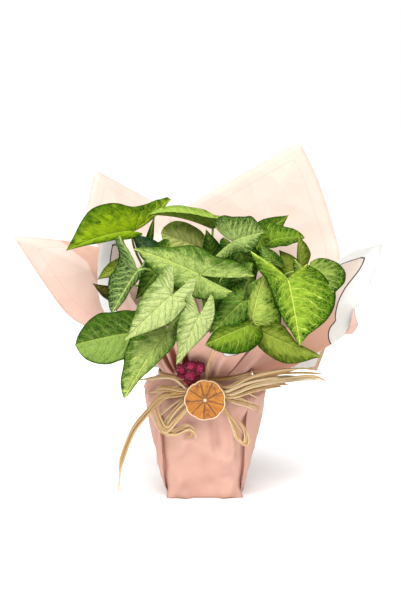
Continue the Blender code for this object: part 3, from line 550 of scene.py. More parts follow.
# Each leafy stem: where it stands in the soil, and its leaves with joint, tip and facing first.
STEMS = {
    "stem_left": ((-21, -13), [
        Leaf((-67, 165, -88), (-130, 152, -106), (-0.3, -1, 0.5),
             [(-9, 24), (8, 37), (30, 42), (48, 44), (61, 44), (77, 40), (90, 29), (97, 15)],
             [(-23, 18), (-12, 33), (6, 38), (26, 38), (44, 41), (61, 37), (74, 30), (91, 14)],
             arch=22, fold=8, rise=0.62, via=(-42, 214, -86), tone="two_tone"),
        Leaf((-39, 166, -104), (-81, 98, -124), (-0.25, -1, 0.25),
             [(-17, 3), (-8, 13), (8, 20), (21, 19), (46, 14), (67, 7), (78, 5), (91, 3)],
             [(-12, 8), (6, 18), (18, 27), (32, 33), (53, 27), (63, 22), (82, 15), (93, 7)],
             arch=25, tone="marbled", **OVER_RIM),
        Leaf((-68, 226, -64), (-93, 184, -84), (-0.2, -1, 0.3),
             [(-30, 2), (-24, 8), (-9, 15), (24, 12), (46, 10), (63, 11), (84, 8)],
             [(-52, 69), (-40, 73), (-17, 51), (14, 39), (38, 40), (64, 29), (83, 17), (96, 7)],
             arch=20, fold=5, via=(-38, 240, -66), tone="dark_veined"),
        Leaf((-87, 229, -40), (-108, 217, -50), (0, -1, 0.6), from_below=0.1, from_behind=0.9, tone="olive"),
        Leaf((-91, 203, -44), (-113, 214, -56), (0, -1, -0.2), girth=0.85, via=(-64, 236, -48),
             tone="brown_tip"),
    ]),
    "stem_front": ((-5, -23), [
        Leaf((-33, 202, -114), (-81, 156, -127), (-0.1, -1, 0.25),
             [(-38, 2), (-43, 7), (-38, 13), (-20, 23), (7, 29), (33, 30), (60, 19), (82, 8)],
             [(-33, 32), (-24, 39), (3, 35), (34, 30), (59, 18), (77, 9), (89, 3)],
             arch=22, fold=5, tone="cream"),
        Leaf((-6, 181, -120), (-29, 132, -130), (0, -1, 0.2),
             [(-44, 2), (-44, 8), (-29, 19), (-11, 27), (17, 28), (44, 20), (68, 11), (89, 5)],
             [(-32, 31), (-23, 37), (2, 35), (33, 29), (58, 19), (73, 9), (88, 5)],
             arch=22, fold=5, tone="cream"),
        Leaf((-5, 222, -82), (-72, 248, -58), (0, -0.9, 0.55),
             [(-48, 3), (-47, 11), (-39, 21), (-21, 28), (1, 33), (29, 29), (53, 24), (67, 17), (84, 6)],
             [(-64, 30), (-54, 37), (-34, 43), (-12, 37), (9, 38), (33, 34), (51, 20), (72, 12), (89, 6)],
             arch=30, fold=(5, -5), tone="speckled"),
    ]),
    "stem_back_left": ((-24, 8), [
        Leaf((-71, 266, -18), (-139, 246, -45), (0.15, -0.85, 0.5),
             [(-8, 8), (2, 15), (20, 18), (42, 16), (64, 11), (84, 5)],
             [(-97, 50), (-92, 54), (-68, 48), (-41, 40), (-14, 34), (7, 38), (33, 42), (52, 38), (69, 26),
              (84, 12)],
             arch=60, fold=(35, 12), lobe=-10, tone="lime"),
        Leaf((-40, 235, -31), (-70, 197, -46), (0.1, -1, 0.3), tone="dark"),
        Leaf((-57, 251, 2), (-50, 283, -4), (0, -1, 0.2), girth=0.35, tone="dark"),
        Leaf((-52, 244, -4), (-74, 264, -8), (-0.2, -1, 0.3), girth=1.1, tone="bluish"),
        Leaf((-50, 224, 18), (-79, 210, 15), (-0.4, 0.5, 0.8), arch=35, tone="fresh"),
    ]),
    "stem_middle": ((-2, 12), [
        Leaf((8, 269, 16), (-57, 282, 2), (0, -0.12, 1),
             [(-18, 20), (-10, 32), (4, 36), (15, 33), (30, 20), (47, 15), (63, 12), (82, 6)],
             [(-22, 28), (-8, 42), (17, 34), (35, 33), (55, 25), (71, 20), (89, 9)],
             arch=30, fold=(35, 30), tone="pale"),
        Leaf((-2, 248, 30), (-44, 264, 20), (0.1, -1, 0.3),
             [(-16, 14), (-10, 26), (0, 33), (21, 39), (53, 41), (75, 32), (90, 18)],
             [(-14, 10), (-6, 18), (7, 28), (30, 38), (53, 40), (76, 37), (91, 25), (99, 12)],
             arch=20, tone="painted_light_lift"),
        Leaf((28, 256, -46), (60, 265, -34), (0, -1, 0.5),
             [(-41, 49), (-37, 65), (-14, 79), (11, 73), (42, 58), (68, 54), (80, 37), (88, 19)],
             [(-70, 33), (-56, 48), (-28, 47), (-1, 41), (17, 57), (40, 49), (59, 36), (75, 17)],
             arch=25, fold=18, wave=0.05, tone="frilly"),
        Leaf((8, 236, 4), (1, 268, 0), (0.2, -1, 0.3), girth=1.1, tone="deep"),
        Leaf((14, 214, -22), (2, 176, -32), (0, -1, 0.3), girth=1.2, tone="deep"),
        Leaf((34, 247, -14), (50, 208, -24), (0.1, -1, 0.3), girth=1.1, tone="dark"),
    ]),
    "stem_back": ((-4, 30), [
        Leaf((-26, 206, 32), (-42, 168, 27), (-0.4, 1, 0.5), arch=25, tone="fresh"),
        Leaf((19, 232, 43), (33, 194, 42), (0.1, 1, 0.5), arch=22, tone="mottled"),
        Leaf((15, 194, 30), (17, 160, 32), (0.1, 1, 0.3), girth=0.7, arch=20, tone="dark"),
    ]),
    "stem_front_right": ((16, -20), [
        Leaf((45, 172, -108), (0, 152, -122), (0, -1, 0.35),
             [(-14, 9), (-17, 22), (-10, 35), (8, 44), (28, 49), (51, 45), (71, 35), (86, 21), (94, 9)],
             [(-12, 6), (0, 9), (27, 12), (45, 18), (67, 18), (84, 11)], tone="glossy"),
        Leaf((37, 195, -72), (3, 160, -80), (0, -1, 0.35), tone="forest"),
        Leaf((47, 177, -94), (59, 222, -74), (-0.2, -1, 0.2),
             [(-8, 4), (1, 8), (18, 14), (36, 18), (62, 15), (86, 9)],
             [(-20, 22), (-17, 43), (-3, 58), (13, 60), (28, 53), (44, 39), (65, 27), (86, 13)],
             tone="pale_veined"),
        Leaf((57, 165, -103), (117, 140, -118), (0.1, -1, -0.15),
             [(-10, 7), (7, 15), (17, 24), (31, 24), (43, 18), (54, 10), (63, 7), (75, 6), (87, 4)],
             [(-15, 8), (-5, 15), (3, 22), (21, 27), (35, 30), (50, 29), (64, 24), (77, 16), (88, 7)],
             arch=35, tone="olive"),
        Leaf((44, 213, -56), (16, 178, -62), (0, -1, 0.3), girth=1.15, tone="mottled"),
    ]),
    "stem_right": ((27, -3), [
        Leaf((83, 218, -90), (95, 151, -124), (0.1, -1, 0.3),
             [(-20, 30), (-8, 46), (11, 56), (21, 63), (41, 59), (53, 54), (68, 42), (78, 28), (86, 14),
              (93, 6)],
             [(-48, 46), (-35, 44), (-14, 39), (-1, 32), (20, 28), (41, 24), (62, 19), (80, 10), (94, 4)],
             arch=25, fold=(0, 12), rise=0.65, tone="apple"),
        Leaf((104, 221, -80), (111, 185, -104), (0.2, -1, 0.4),
             [(-39, 9), (-46, 34), (-37, 62), (-18, 86), (12, 89), (35, 78), (56, 53), (72, 34), (92, 12)],
             [(-47, 29), (-31, 36), (0, 36), (34, 28), (60, 19), (87, 8)],
             arch=15, rise=0.65, from_below=0.5, from_behind=0.8, tone="veined"),
        Leaf((97, 228, -38), (94, 262, -31), (-0.3, -1, 0.2),
             [(-10, 4), (-2, 9), (22, 12), (50, 9), (76, 5)],
             [(-10, 8), (2, 13), (22, 26), (44, 32), (69, 22), (85, 9)], tone="olive"),
        Leaf((88, 226, -30), (74, 247, -20), (0.2, -1, 0.5), girth=1.2, tone="olive"),
    ]),
    "stem_back_right": ((19, 19), [
        Leaf((66, 256, -20), (100, 259, -14), (0, -0.7, 0.8),
             [(-25, 60), (-15, 80), (6, 80), (21, 56), (44, 38), (71, 27), (91, 12)],
             [(-20, 20), (-12, 31), (6, 39), (29, 42), (54, 38), (75, 25), (90, 10)],
             arch=40, fold=(10, 20), tone="fresh"),
        Leaf((57, 262, 28), (84, 282, 26), (0, -1, 0.3), girth=1.1, tone="fresh"),
        Leaf((67, 234, -50), (55, 253, -48), (-0.3, -0.8, 0.5), girth=1.25, tone="mottled"),
        Leaf((56, 236, 24), (88, 214, 24), (0.5, 0.5, 0.7), arch=35, tone="mottled"),
        Leaf((58, 200, 14), (96, 186, 0), (0.6, 0.2, 0.8), arch=35, tone="fresh"),
    ]),
}


def leaf_finish(name, upper):
    """Green marbled with cream, pale veins with a pale glow and a fine net between them, dark speckles on the
    cream, and a thin dark edge of painted shade along the margin. The underside is duller, with the veins
    standing out."""
    look = Finish(name, 0.42, Subsurface_Weight=0.06, Subsurface_Scale=0.0015,
                  Subsurface_Radius=(0.5, 1.0, 0.05), Specular_IOR_Level=0.03)
    flat, veins, spread = look.lay("flat"), look.lay("veins"), look.lay("spread")
    creamy, veined, speckled = look.split(look.carried("marks"))[:3]
    count, rib = look.split(veins)[:2]
    bent = look.calc("SUBTRACT", look.grain(flat, 1.1, 2, 0.5), 0.5)
    count = look.plus(count, look.times(bent, VEIN_WANDER))
    out = look.split(spread)[0]
    blotch = look.grain(flat, 1.0, 4, 0.6, warp=0.7)
    streak = look.grain(veins, 1.0, 4, 0.65, squash=(1.7, 0.1, 1))
    fine = look.grain(flat, 9.0, 4, 0.65, warp=0.8)
    coarse = look.grain(flat, 3.4, 4, 0.7, warp=0.8)
    patch = look.grain(flat, 1.7, 2, 0.5)
    # Cream comes in blotches and in streaks along the side veins, and more of it near the midrib.
    sum_up = look.plus(look.times(blotch, 0.75), look.times(streak, 1.0))
    sum_up = look.plus(sum_up, look.times(look.fade(out, 0.95, 0.1), 0.36))
    sum_up = look.plus(sum_up, creamy)
    cream_at = look.fade(sum_up, 1.24, 1.72)
    net = look.node("TexVoronoi", {"Vector": flat, "Scale": 3.1, "Randomness": 0.9},
                    feature="DISTANCE_TO_EDGE").outputs["Distance"]
    net = look.times(look.fade(net, 0.12, 0.01), look.times(veined, 0.5))
    # Green speckles lie on the cream, and more of them towards the margin.
    dots = look.plus(look.times(fine, 0.62), look.times(coarse, 0.5))
    dots = look.plus(dots, look.times(look.fade(out, 0.4, 1.0), 0.06))
    dots = look.times(look.fade(dots, 0.56, 0.66), speckled)
    # Side veins, with two finer and broken ones between each pair, and a pale glow beside them.
    from_vein = look.calc("PINGPONG", count, 0.5)
    outer = look.fade(out, 1.0, 0.6)
    core = look.times(look.fade(from_vein, 0.09, 0.02), outer)
    between = look.calc("PINGPONG", look.times(count, 3.0), 0.5)
    between = look.times(look.fade(between, 0.26, 0.06), look.fade(out, 0.95, 0.5))
    broken = look.fade(look.grain(flat, 2.6, 3, 0.6, warp=0.5), 0.46, 0.6)
    core = look.most(core, look.times(look.times(between, broken), 0.45))
    glow = look.times(look.fade(from_vein, 0.36, 0.04), look.fade(out, 1.0, 0.3))
    middle = look.fade(rib, 1.2, 0.3)
    middle_glow = look.fade(rib, 4.5, 0.6)
    vein_at = look.most(look.times(core, 0.8), look.times(middle, 0.95))
    glow_at = look.most(look.times(glow, 0.55), look.times(middle_glow, 0.5))
    # The colours, from the ground up.
    green, cream = look.carried("green"), look.carried("cream")
    deep = look.blend(1.0, green, tint("90A868"), "MULTIPLY")
    ground = look.blend(look.fade(patch, 0.38, 0.62), deep, green)
    ground = look.blend(cream_at, ground, cream)
    ground = look.blend(look.times(glow_at, veined), ground, cream)
    ground = look.blend(net, ground, cream)
    ground = look.blend(look.times(dots, 0.7), ground, green)
    pale = look.blend(0.5, cream, tint("C4D264"))
    ground = look.blend(look.times(vein_at, look.times(veined, 0.95)), ground, pale)
    # Painted shade: a thin dark edge along the margin outlines each blade.
    ground = look.blend(look.times(look.fade(out, 0.9, 1.0), 0.6), ground, deep)
    if not upper:
        ground = look.blend(0.5, ground, green)
    look.colour(ground)
    look.gloss(coarse, *((0.3, 0.5) if upper else (0.5, 0.7)))
    # Veins are sunk above and stand out below, and the blade swells between them.
    raised = look.times(look.most(core, middle), -1.0 if upper else 1.0)
    look.relief(raised, 0.6)
    look.relief(look.times(from_vein, 2.0 if upper else -2.0), 0.62)
    look.relief(coarse, 0.75)
    look.relief(fine, 0.2)
    return look


def stalk_finish():
    """Smooth green stalk, paler towards the soil, with fine lengthwise streaks."""
    look = Finish("leaf_stalk", 0.4, Subsurface_Weight=0.1, Subsurface_Scale=0.002)
    place = look.place()
    streaks = look.grain(place, 260, 3, squash=(1, 1, 0.08))
    height = look.split(place)[2]
    green = look.blend(streaks, tint("6E9430"), tint("94B452"))
    look.colour(look.blend(look.fade(height, 0.16, 0.1), green, tint("B4C480")))
    look.relief(streaks, 0.15)
    return look


leaf_looks = [leaf_finish("leaf_upper", True), leaf_finish("leaf_under", False), stalk_finish()]
leaf_draw = random.Random(3)
for stem_name, (stem_foot, stem_leaves) in STEMS.items():
    bm = bmesh.new()
    layers = {name: bm.loops.layers.uv.new(name) for name in ("flat", "veins", "spread")}
    layers |= {name: bm.verts.layers.float_color.new(name) for name in ("green", "cream", "marks")}
    crown = Vector((*stem_foot, CROWN))
    foot = Vector((*stem_foot, STEM_FOOT))
    heights, swells = zip(*STEM_RINGS)
    add_rod(bm, [lerp(foot, crown, t) for t in heights], [STEM_RADIUS * swell for swell in swells], 14, 2)
    for number, leaf in enumerate(stem_leaves):
        start = crown + polar(number * LEAF_TURN, LEAF_OUT, -4 + LEAF_STEP * number)
        reach = leaf.joint - start
        first = start + Vector((STALK_LEAN * reach.x, STALK_LEAN * reach.y, leaf.rise * reach.length))
        last = leaf.joint - (leaf.z * leaf.from_below + leaf.x * leaf.from_behind) * STALK_BEND * reach.length
        if leaf.via:
            last = seen(*leaf.via)
        path = interpolate_bezier(start, first, last, leaf.joint - leaf.z * 0.5, STALK_POINTS)
        radii = []
        for i in range(STALK_POINTS):
            t = i / (STALK_POINTS - 1)
            sheath = SHEATH_THICK * max(0, 1 - t / SHEATH_PART) ** 0.6
            flare = FLARE_THICK * max(0, 1 - (1 - t) / FLARE_PART)
            radii.append(lerp(STALK_BASE, STALK_END, t) + sheath + flare)
        add_rod(bm, path, radii, STALK_SIDES, 2, STALK_GROOVE)
        add_blade(bm, leaf, layers, leaf_draw)
    finish_piece("leafy_" + stem_name, bm, leaf_looks, stem_name, merge_mm=0.0005)


# Wrapping paper. Three sheets of stiff matt paper, salmon on both faces. The outer face is printed with
# a thin black line 14 mm inside the edge and is white outside it. One sheet goes under the pot, up its
# sides, in at the neck and out to a wide collar; two more stand behind the leaves as a pointed fan.
PAPER = 0.4
NECK_RADIUS, NECK_LOW, NECK_HIGH = 44.0, 117.8, 123.5
PANEL_FOOT, PANEL_TOP = 38.0, 42.0
BASE_ROUND, PANEL_TURN, PANEL_EDGE, PANEL_END, SIDE_SWELL = 30, 38, 42, 60, 1.07
PANEL_HEIGHT, FOLD_SPREAD = 97, 0.9
# The pleats from 24 to 60 degrees round get painted shade in their valleys.
PLEAT_CREST, SHADED_CREASE_TURNS = 0.55, (24, 60)
GATHER_AT, GATHER_REACH, GATHER_OUT, PRESS_DEPTH = 109, 14, 2.4, 2.3
COLLAR_LIFT, COLLAR_FLARE, COLLAR_PLEATS = 0.32, 0.16, 7.5
FAN_LIFT, FAN_FLARE, FAN_PLEATS = 0.4, 0.1, 2.4
LEFT_FOOT, LEFT_NECK, RIGHT_FOOT, RIGHT_NECK = 50.8, 42.4, 48.4, 40.7
PER_RIM_STEP, EDGE_STEPS, COLLAR_ROWS, BEHIND_ROWS = 7, 8, 30, 8
LINE_NEAR, LINE_FAR, LINE_BLUR = 12.9, 14.4, 0.3
CURL_WIDEST, CURL_TURN, CURL_FROM = 6.6, math.radians(200), 82
TUCK_TOP = 104
# Beside the front panel: angle, how far out in panel half widths, how far back in mm.
TUCK = [(29, 0.72, 0.0), (33, 0.84, 1.5), (36.5, 0.93, 5.0), (39, 1.0, 10.5), (40, 1.03, 11.0),
        (40.9, 1.045, 5.0), (42, 1.06, 3.4), (45, 1.11, 6.5), (50, 1.18, 12.5), (64, 1.25, 26.0)]

# The rim of each sheet: angle at the neck, rim point, whether it is a corner.
MAIN_RIM = [
    (-180, polar(-180, 56, 134), 0), (-160, polar(-160, 56, 134), 0), (-140, polar(-140, 55, 132), 0),
    (-120, polar(-120, 48, 128), 0), (-105, polar(-105, 47.5, 127), 0), (-96, seen(-72, 148, -2), 0),
    (-88, seen(-96, 178, -8), 0), (-80, seen(-106, 200, -12), 0), (-73, seen(-107, 235, -13), 0),
    (-66, seen(-101, 269, -12), 1), (-60, seen(-83, 261, -18), 0), (-54, seen(-80, 235, -24), 0),
    (-48, seen(-76, 205, -40), 0), (-42, seen(-66, 188, -58), 0), (-38, seen(-55, 178, -70), 0),
    (-28, seen(-36, 170, -84), 0), (-14, seen(-14, 167, -92), 0), (0, seen(6, 164, -95), 0),
    (12, seen(31, 149, -97), 0), (24, seen(62, 160, -93), 0), (38, seen(101, 181, -82), 0),
    (42, seen(108, 192, -75), 0), (48, seen(122, 213, -61), 0), (55, seen(134, 236, -44), 0),
    (63, seen(155, 249, -30), 0), (70, seen(178, 255, -20), 1), (76, seen(169, 222, -22), 0),
    (82, seen(152, 191, -22), 0), (88, seen(143, 165, -18), 0), (92, seen(102, 138, -14), 0),
    (96, seen(62, 116, -6), 0), (99.5, seen(52, 114, 0), 0), (103, polar(103, 47.5, 126), 0),
    (120, polar(120, 48, 127.5), 0), (140, polar(140, 54, 131), 0), (160, polar(160, 56, 134), 0),
    (180, polar(180, 56, 134), 0),
]
LEFT_RIM = [
    (-107, seen(-52, 136, 12), 0), (-110, seen(-87, 152, 8), 0), (-113, seen(-117, 169, 5), 0),
    (-116, seen(-140, 185, 0), 0), (-119, seen(-168, 224, -10), 0), (-122, seen(-192, 261, -16), 1),
    (-126, seen(-165, 259, 4), 0), (-130, seen(-138, 256, 34), 1), (-134, seen(-107, 250, 44), 1),
    (-139, seen(-116, 272, 54), 0), (-143, seen(-118, 289, 62), 0), (-148, seen(-110, 327, 76), 1),
    (-155, seen(-84, 313, 88), 0), (-162, seen(-60, 300, 96), 0), (-170, seen(-35, 289, 101), 0),
    (-178, seen(-8, 272, 103), 0), (-188, seen(20, 250, 101), 0),
]
RIGHT_RIM = [
    (108, seen(58, 134, 20), 0), (112, seen(112, 126, 18), 1), (116, seen(122, 154, 18), 0),
    (120, seen(133, 197, 24), 0), (124, seen(135, 240, 38), 0), (129, seen(130, 264, 54), 0),
    (135, seen(113, 317, 74), 0), (141, seen(95, 355, 84), 1), (150, seen(41, 325, 90), 0),
    (160, seen(-13, 294, 88), 0), (168, seen(-34, 283, 86), 1), (176, seen(-38, 254, 78), 0),
]
# Radius, height and squareness up the main sheet, and in how many rows it gets there.
BODY = [
    (0, 0.35, 1, 1), (31, 0.35, 1, 3), (36.4, 0.35, 1, 2), (38.4, 2.6, 1, 3), (51.2, 50, 1, 10),
    (59.9, 97, 1, 10), (60.2, 104, 0.7, 4), (55.5, 110, 0.3, 4), (49, 114.6, 0, 4),
    (NECK_RADIUS + 0.6, NECK_LOW, 0, 3), (NECK_RADIUS, NECK_HIGH, 0, 4),
]
paper_draw = random.Random(8)
# Pressed pleats of the gathered neck: angle, half width and height.
PLEATS = [(-47, 5, 0.8), (-36, 5, 1.1), (-25, 5, 0.9), (-12, 6, -0.5), (2, 7, 0.7), (13, 5, -1.1),
          (22, 6, 1.4), (33, 5, -1.0), (43, 6, 1.2), (56, 6, -0.8), (66, 6, 0.9)]
PLEATS += [(angle + paper_draw.uniform(-3, 3), paper_draw.uniform(4, 7), paper_draw.uniform(-0.9, 1.2))
           for angle in list(range(-175, -54, 11)) + list(range(78, 180, 11))]


def rim_at(rim, s):
    """Angle and rim point at s, which counts the rim's points. A corner stays sharp."""
    i = min(int(s), len(rim) - 2)
    t = s - i
    (angle, a, sharp_a), (next_angle, b, sharp_b) = rim[i], rim[i + 1]
    into = b - a if sharp_a or i == 0 else (b - rim[i - 1][1]) / 2
    out = b - a if sharp_b or i == len(rim) - 2 else (rim[i + 2][1] - a) / 2
    point = interpolate_bezier(a, a + into / 3, b - out / 3, b, 101)[round(t * 100)]
    return lerp(angle, next_angle, t), point


def panel_half(height):
    """Half the width of the flat front panel, which widens up the pot."""
    return lerp(PANEL_FOOT, PANEL_TOP, height / PANEL_HEIGHT)


def squared(angle, radius, height, amount):
    """Angle and radius of the wrapped pot: a flat front panel between two creases, round elsewhere."""
    if radius < BASE_ROUND:
        return angle, radius
    turn, fold = abs(angle), PANEL_EDGE - PANEL_TURN
    crease = math.degrees(math.atan2(panel_half(height), radius))
    if turn <= PANEL_TURN:
        turned = turn * crease / PANEL_TURN
        shaped = radius / math.cos(math.radians(turned))
    elif turn <= PANEL_EDGE:
        over = turn - PANEL_TURN
        turned = crease + over * FOLD_SPREAD
        shaped = lerp(radius / math.cos(math.radians(crease)), radius * SIDE_SWELL, over / fold)
    else:
        turned = lerp(crease + fold * FOLD_SPREAD, 180, (turn - PANEL_EDGE) / (180 - PANEL_EDGE))
        fade = max(0, (90 - turn) / (90 - PANEL_END))
        shaped = radius * (SIDE_SWELL if turn < PANEL_END else lerp(1, SIDE_SWELL, fade))
    return math.copysign(lerp(turn, turned, amount), angle), lerp(radius, shaped, amount)


def pleat(angle):
    """How far the pleats stand out at this angle. Each rises slowly on one side and drops on the other."""
    total = 0
    for at, half, height in PLEATS:
        x = (angle - at) / half * (1 if height > 0 else -1)
        drop = (1 + PLEAT_CREST) * (1 - x) / (1 - PLEAT_CREST)
        total += abs(height) * max(0, 1 + x if x < PLEAT_CREST else drop)
    return total


def from_crease(angle):
    """Degrees from the nearest crease, where a pleat drops to the next one."""
    return min(abs(angle - at - math.copysign(half, height)) for at, half, height in PLEATS
               if SHADED_CREASE_TURNS[0] < abs(at) < SHADED_CREASE_TURNS[1])


def tucked(angle, radius, height, point):
    """The paper beside the front panel: the panel goes back under the front edge of the side fold."""
    turn = abs(angle)
    if not TUCK[0][0] < turn < TUCK[-1][0] or height > TUCK_TOP:
        return point
    (t0, x0, y0), (t1, x1, y1) = next(pair for pair in zip(TUCK, TUCK[1:]) if pair[1][0] >= turn)
    t = (turn - t0) / (t1 - t0)
    half = panel_half(height) * (1 if angle < 0 else lerp(0.93, 1, max(0, turn - 46) / 16))
    out = lerp(x0, x1, t)
    out = min(out, 1 + (out - 1) * clip((radius - 38) / 9))
    there = Vector((math.copysign(half * out, angle), -radius + lerp(y0, y1, t), height))
    amount = min(1, height / 9, (TUCK_TOP - height) / 22)
    return point.lerp(there, amount * min(1, (turn - TUCK[0][0]) / 2, (TUCK[-1][0] - turn) / 12))


# Creases pressed into the front panel: right and up of both ends, half width, height.
PRESSED = [
    (-14, 63, 20, 42, 8, 2.4), (20, 42, 34, 46, 6, 2.2), (7, 86, 11, 58, 6, -2.4), (25, 90, 31, 44, 7, 2.8),
    (-34, 44, -22, 54, 6, 2.0), (-33, 22, 16, 30, 8, 2.0), (-32, 9, -18, 2, 6, 2.0),
    (18, 3, 32, 12, 6, 2.0), (-28, 92, -20, 60, 8, 2.4), (-4, 40, 6, 18, 8, -1.8), (8, 30, 28, 22, 6, -1.8),
    (-20, 24, -34, 2, 6, 1.8),
]


def pressed(point):
    """How far the creases of the front panel stand out here."""
    total = 0
    for x0, z0, x1, z1, half, high in PRESSED:
        along = Vector((x1 - x0, z1 - z0))
        t = clip((point.xz - Vector((x0, z0))).dot(along) / along.length_squared)
        apart = (point.xz - Vector((x0, z0)) - along * t).length
        total += high * max(0, 1 - apart / half)
    return total


def collar_point(angle, rim, radius, height, t, lift, flare):
    """From the neck up and outwards to the rim."""
    start = polar(angle, radius, height)
    reach = (rim - start).length
    middle = start + (UP * lift + polar(angle, 1, 0) * flare) * reach
    return start * (1 - t) ** 2 + middle * 2 * t * (1 - t) + rim * t * t


def crumple(point, size_mm, depth):
    """A gentle unevenness of the paper."""
    return noise.noise(point / size_mm) * depth


def creases(point, size_mm, depth):
    """Flats that meet in sharp ridges."""
    near = noise.voronoi(point / size_mm)[0]
    return (near[0] - near[1]) * depth


def paper_sheet(name, rim, rows, place, stands_for, border, plain_face, lowest=0.0):
    """One sheet. Its print is laid out by the distance to its cut edge, less border(angle), which is None
    where the rim is a fold and so has no border. The printed face is the outer one."""
    columns = (len(rim) - 1) * PER_RIM_STEP
    bm = bmesh.new()
    print_layer = bm.loops.layers.uv.new("print")
    # The print map also carries, second, the turn from the nearest crease, which places the painted shade in
    # the collar's valleys.
    maps = [(print_layer, lambda a, b: (0.0, from_crease(rim_at(rim, a * (len(rim) - 1))[0])))]
    verts = add_surface(bm, columns, rows, place, maps)
    steps = columns * EDGE_STEPS
    edge = KDTree(steps + 1)
    shifts = [border(rim_at(rim, i / EDGE_STEPS / PER_RIM_STEP)[0]) for i in range(steps + 1)]
    for i, shift in enumerate(shifts):
        if shift is not None:
            edge.insert(place(i / steps, 1.0) * MM, i)
    edge.balance()
    for vert in verts:
        _, nearest, distance = edge.find(vert.co)
        for loop in vert.link_loops:
            loop[print_layer].uv.x = max(lowest, distance / MM - shifts[nearest])
    merge(bm, bm.verts)
    bmesh.ops.recalc_face_normals(bm, faces=bm.faces)
    outward = sum(face.normal.dot(Vector((*face.calc_center_median().xy, 0))) for face in bm.faces)
    if outward < 0:
        bmesh.ops.reverse_faces(bm, faces=bm.faces)
    paper_piece(name, bm, stands_for, paper_finish("paper_plain_" + plain_face.replace(" ", "_"), plain_face))


def paper_piece(name, bm, stands_for, plain_look):
    """Gives a sheet its thickness, printed on the outer face and plain on the other."""
    piece = add_piece(name, bm, [printed_look, plain_look], stands_for)
    shell = piece.modifiers.new("Paper", "SOLIDIFY")
    shell.thickness = PAPER * MM
    shell.offset = 0
    shell.material_offset = 1


def paper_finish(name, face):
    """Salmon paper with a fine fibrous tooth and pressed creases. Painted light makes it paler high up and at
    the upper right, where it stands free, as if light came through it. On the printed face, painted shade
    browns the lower right of the collar and darkens the valleys between its pleats. Outside the printed line
    it is white. The plain face shows the print where the sheet's corner turns over: at the front left of the
    round sheet and at the foot of the right fan."""
    look = Finish(name, 0.72, Subsurface_Weight=0.15, Subsurface_Scale=0.003,
                  Subsurface_Radius=(1.0, 0.6, 0.4), Specular_IOR_Level=0.25)
    place = look.place()
    away, fold = look.split(look.lay("print"))[:2]
    right, _, height = look.split(place)[:3]
    cloud = look.grain(place, 22, 3)
    fibre = look.grain(place, 700, 4, 0.7)
    pinks = ("B88D7C", "C89E8F") if face == "printed" else ("BC968A", "C4A296")
    pink = look.blend(cloud, *(tint(code) for code in pinks))
    # Painted light: paler high up and at the upper right, where the sheet stands free and light would come
    # through it.
    free = look.most(look.fade(height, 0.15, 0.25),
                     look.times(look.fade(right, 0.11, 0.13), look.fade(height, 0.17, 0.21)))
    pink = look.blend(free, pink, tint("C4B8AE" if face == "printed" else "BAA89E"))
    if face == "printed":
        # Painted shade: the lower right of the collar is browner, and the valleys between its pleats are
        # dark.
        low = look.times(look.fade(right, 0.07, 0.1), look.fade(height, 0.2, 0.168))
        pink = look.blend(low, pink, tint("BA9480"))
        painted_valley_shade = look.times(look.fade(fold, 3.0, 1.0), look.fade(height, 0.122, 0.128))
        pink = look.blend(look.times(painted_valley_shade, look.fade(height, 0.172, 0.15)), pink, tint("6E2E24"))
    if face == "right fan":
        pink = look.blend(look.fade(height, 0.165, 0.155), pink, tint("B4957A"))
    line = look.times(look.fade(away, LINE_NEAR, LINE_NEAR + LINE_BLUR),
                      look.fade(away, LINE_FAR, LINE_FAR - LINE_BLUR))
    border = look.times(look.fade(away, 13.6, 13.4), look.fade(away, -0.6, -0.2))
    if face == "left fan":
        # Its middle catches the light, and it is shaded where it dips behind the others.
        across = look.plus(look.times(right, 0.608), look.times(height, 0.794))
        behind = look.times(look.fade(across, 0.1094, 0.111), look.fade(height, 0.264, 0.25))
        steep = look.plus(look.times(right, 0.894), look.times(height, 0.447))
        steep = look.times(look.fade(steep, -0.0045, -0.002), look.fade(height, 0.25, 0.235))
        behind = look.most(behind, steep)
        behind = look.times(behind, look.fade(right, -0.08, -0.09))
        lit = look.times(look.fade(right, -0.11, -0.1), look.fade(height, 0.18, 0.2))
        pink = look.blend(look.times(lit, look.fade(height, 0.262, 0.245)), pink, tint("D2C6BE"))
        pink = look.blend(behind, pink, tint("AC8C7C"))
        gap = look.times(behind, look.fade(height, 0.208, 0.196))
        pink = look.blend(gap, pink, tint("8A3A22"))
    # Where the printed side of this sheet shows.
    front_left = look.times(look.fade(right, -0.078, -0.082), look.fade(height, 0.17, 0.18))
    shows = {"printed": 1.0, "left fan": 0.0, "curl": 0.0, "round sheet": front_left,
             "right fan": look.fade(height, 0.165, 0.155)}[face]
    pink = look.blend(look.times(border, shows), pink, tint("C6C9C6"))
    pink = look.blend(look.times(line, 0.22), pink, tint("B08878"))
    pink = look.blend(look.times(line, shows), pink, tint("20242A"))
    look.colour(look.blend(look.times(fibre, 0.12), pink, tint("B88674")))
    folds = look.node("TexVoronoi", {"Vector": place, "Scale": 46.0, "Randomness": 1.0}).outputs["Distance"]
    look.relief(folds, 2.0, 0.65)
    look.relief(look.grain(place, 60, 3), 0.6, 0.5)
    look.relief(fibre, 0.05)
    return look


printed_look = paper_finish("paper_printed_face", "printed")
body_rows = [BODY[0][:3]]
for before, after in zip(BODY, BODY[1:]):
    body_rows += [[lerp(a, b, i / after[3]) for a, b in zip(before[:3], after[:3])]
                  for i in range(1, after[3] + 1)]
main_rows = len(body_rows) - 1 + COLLAR_ROWS


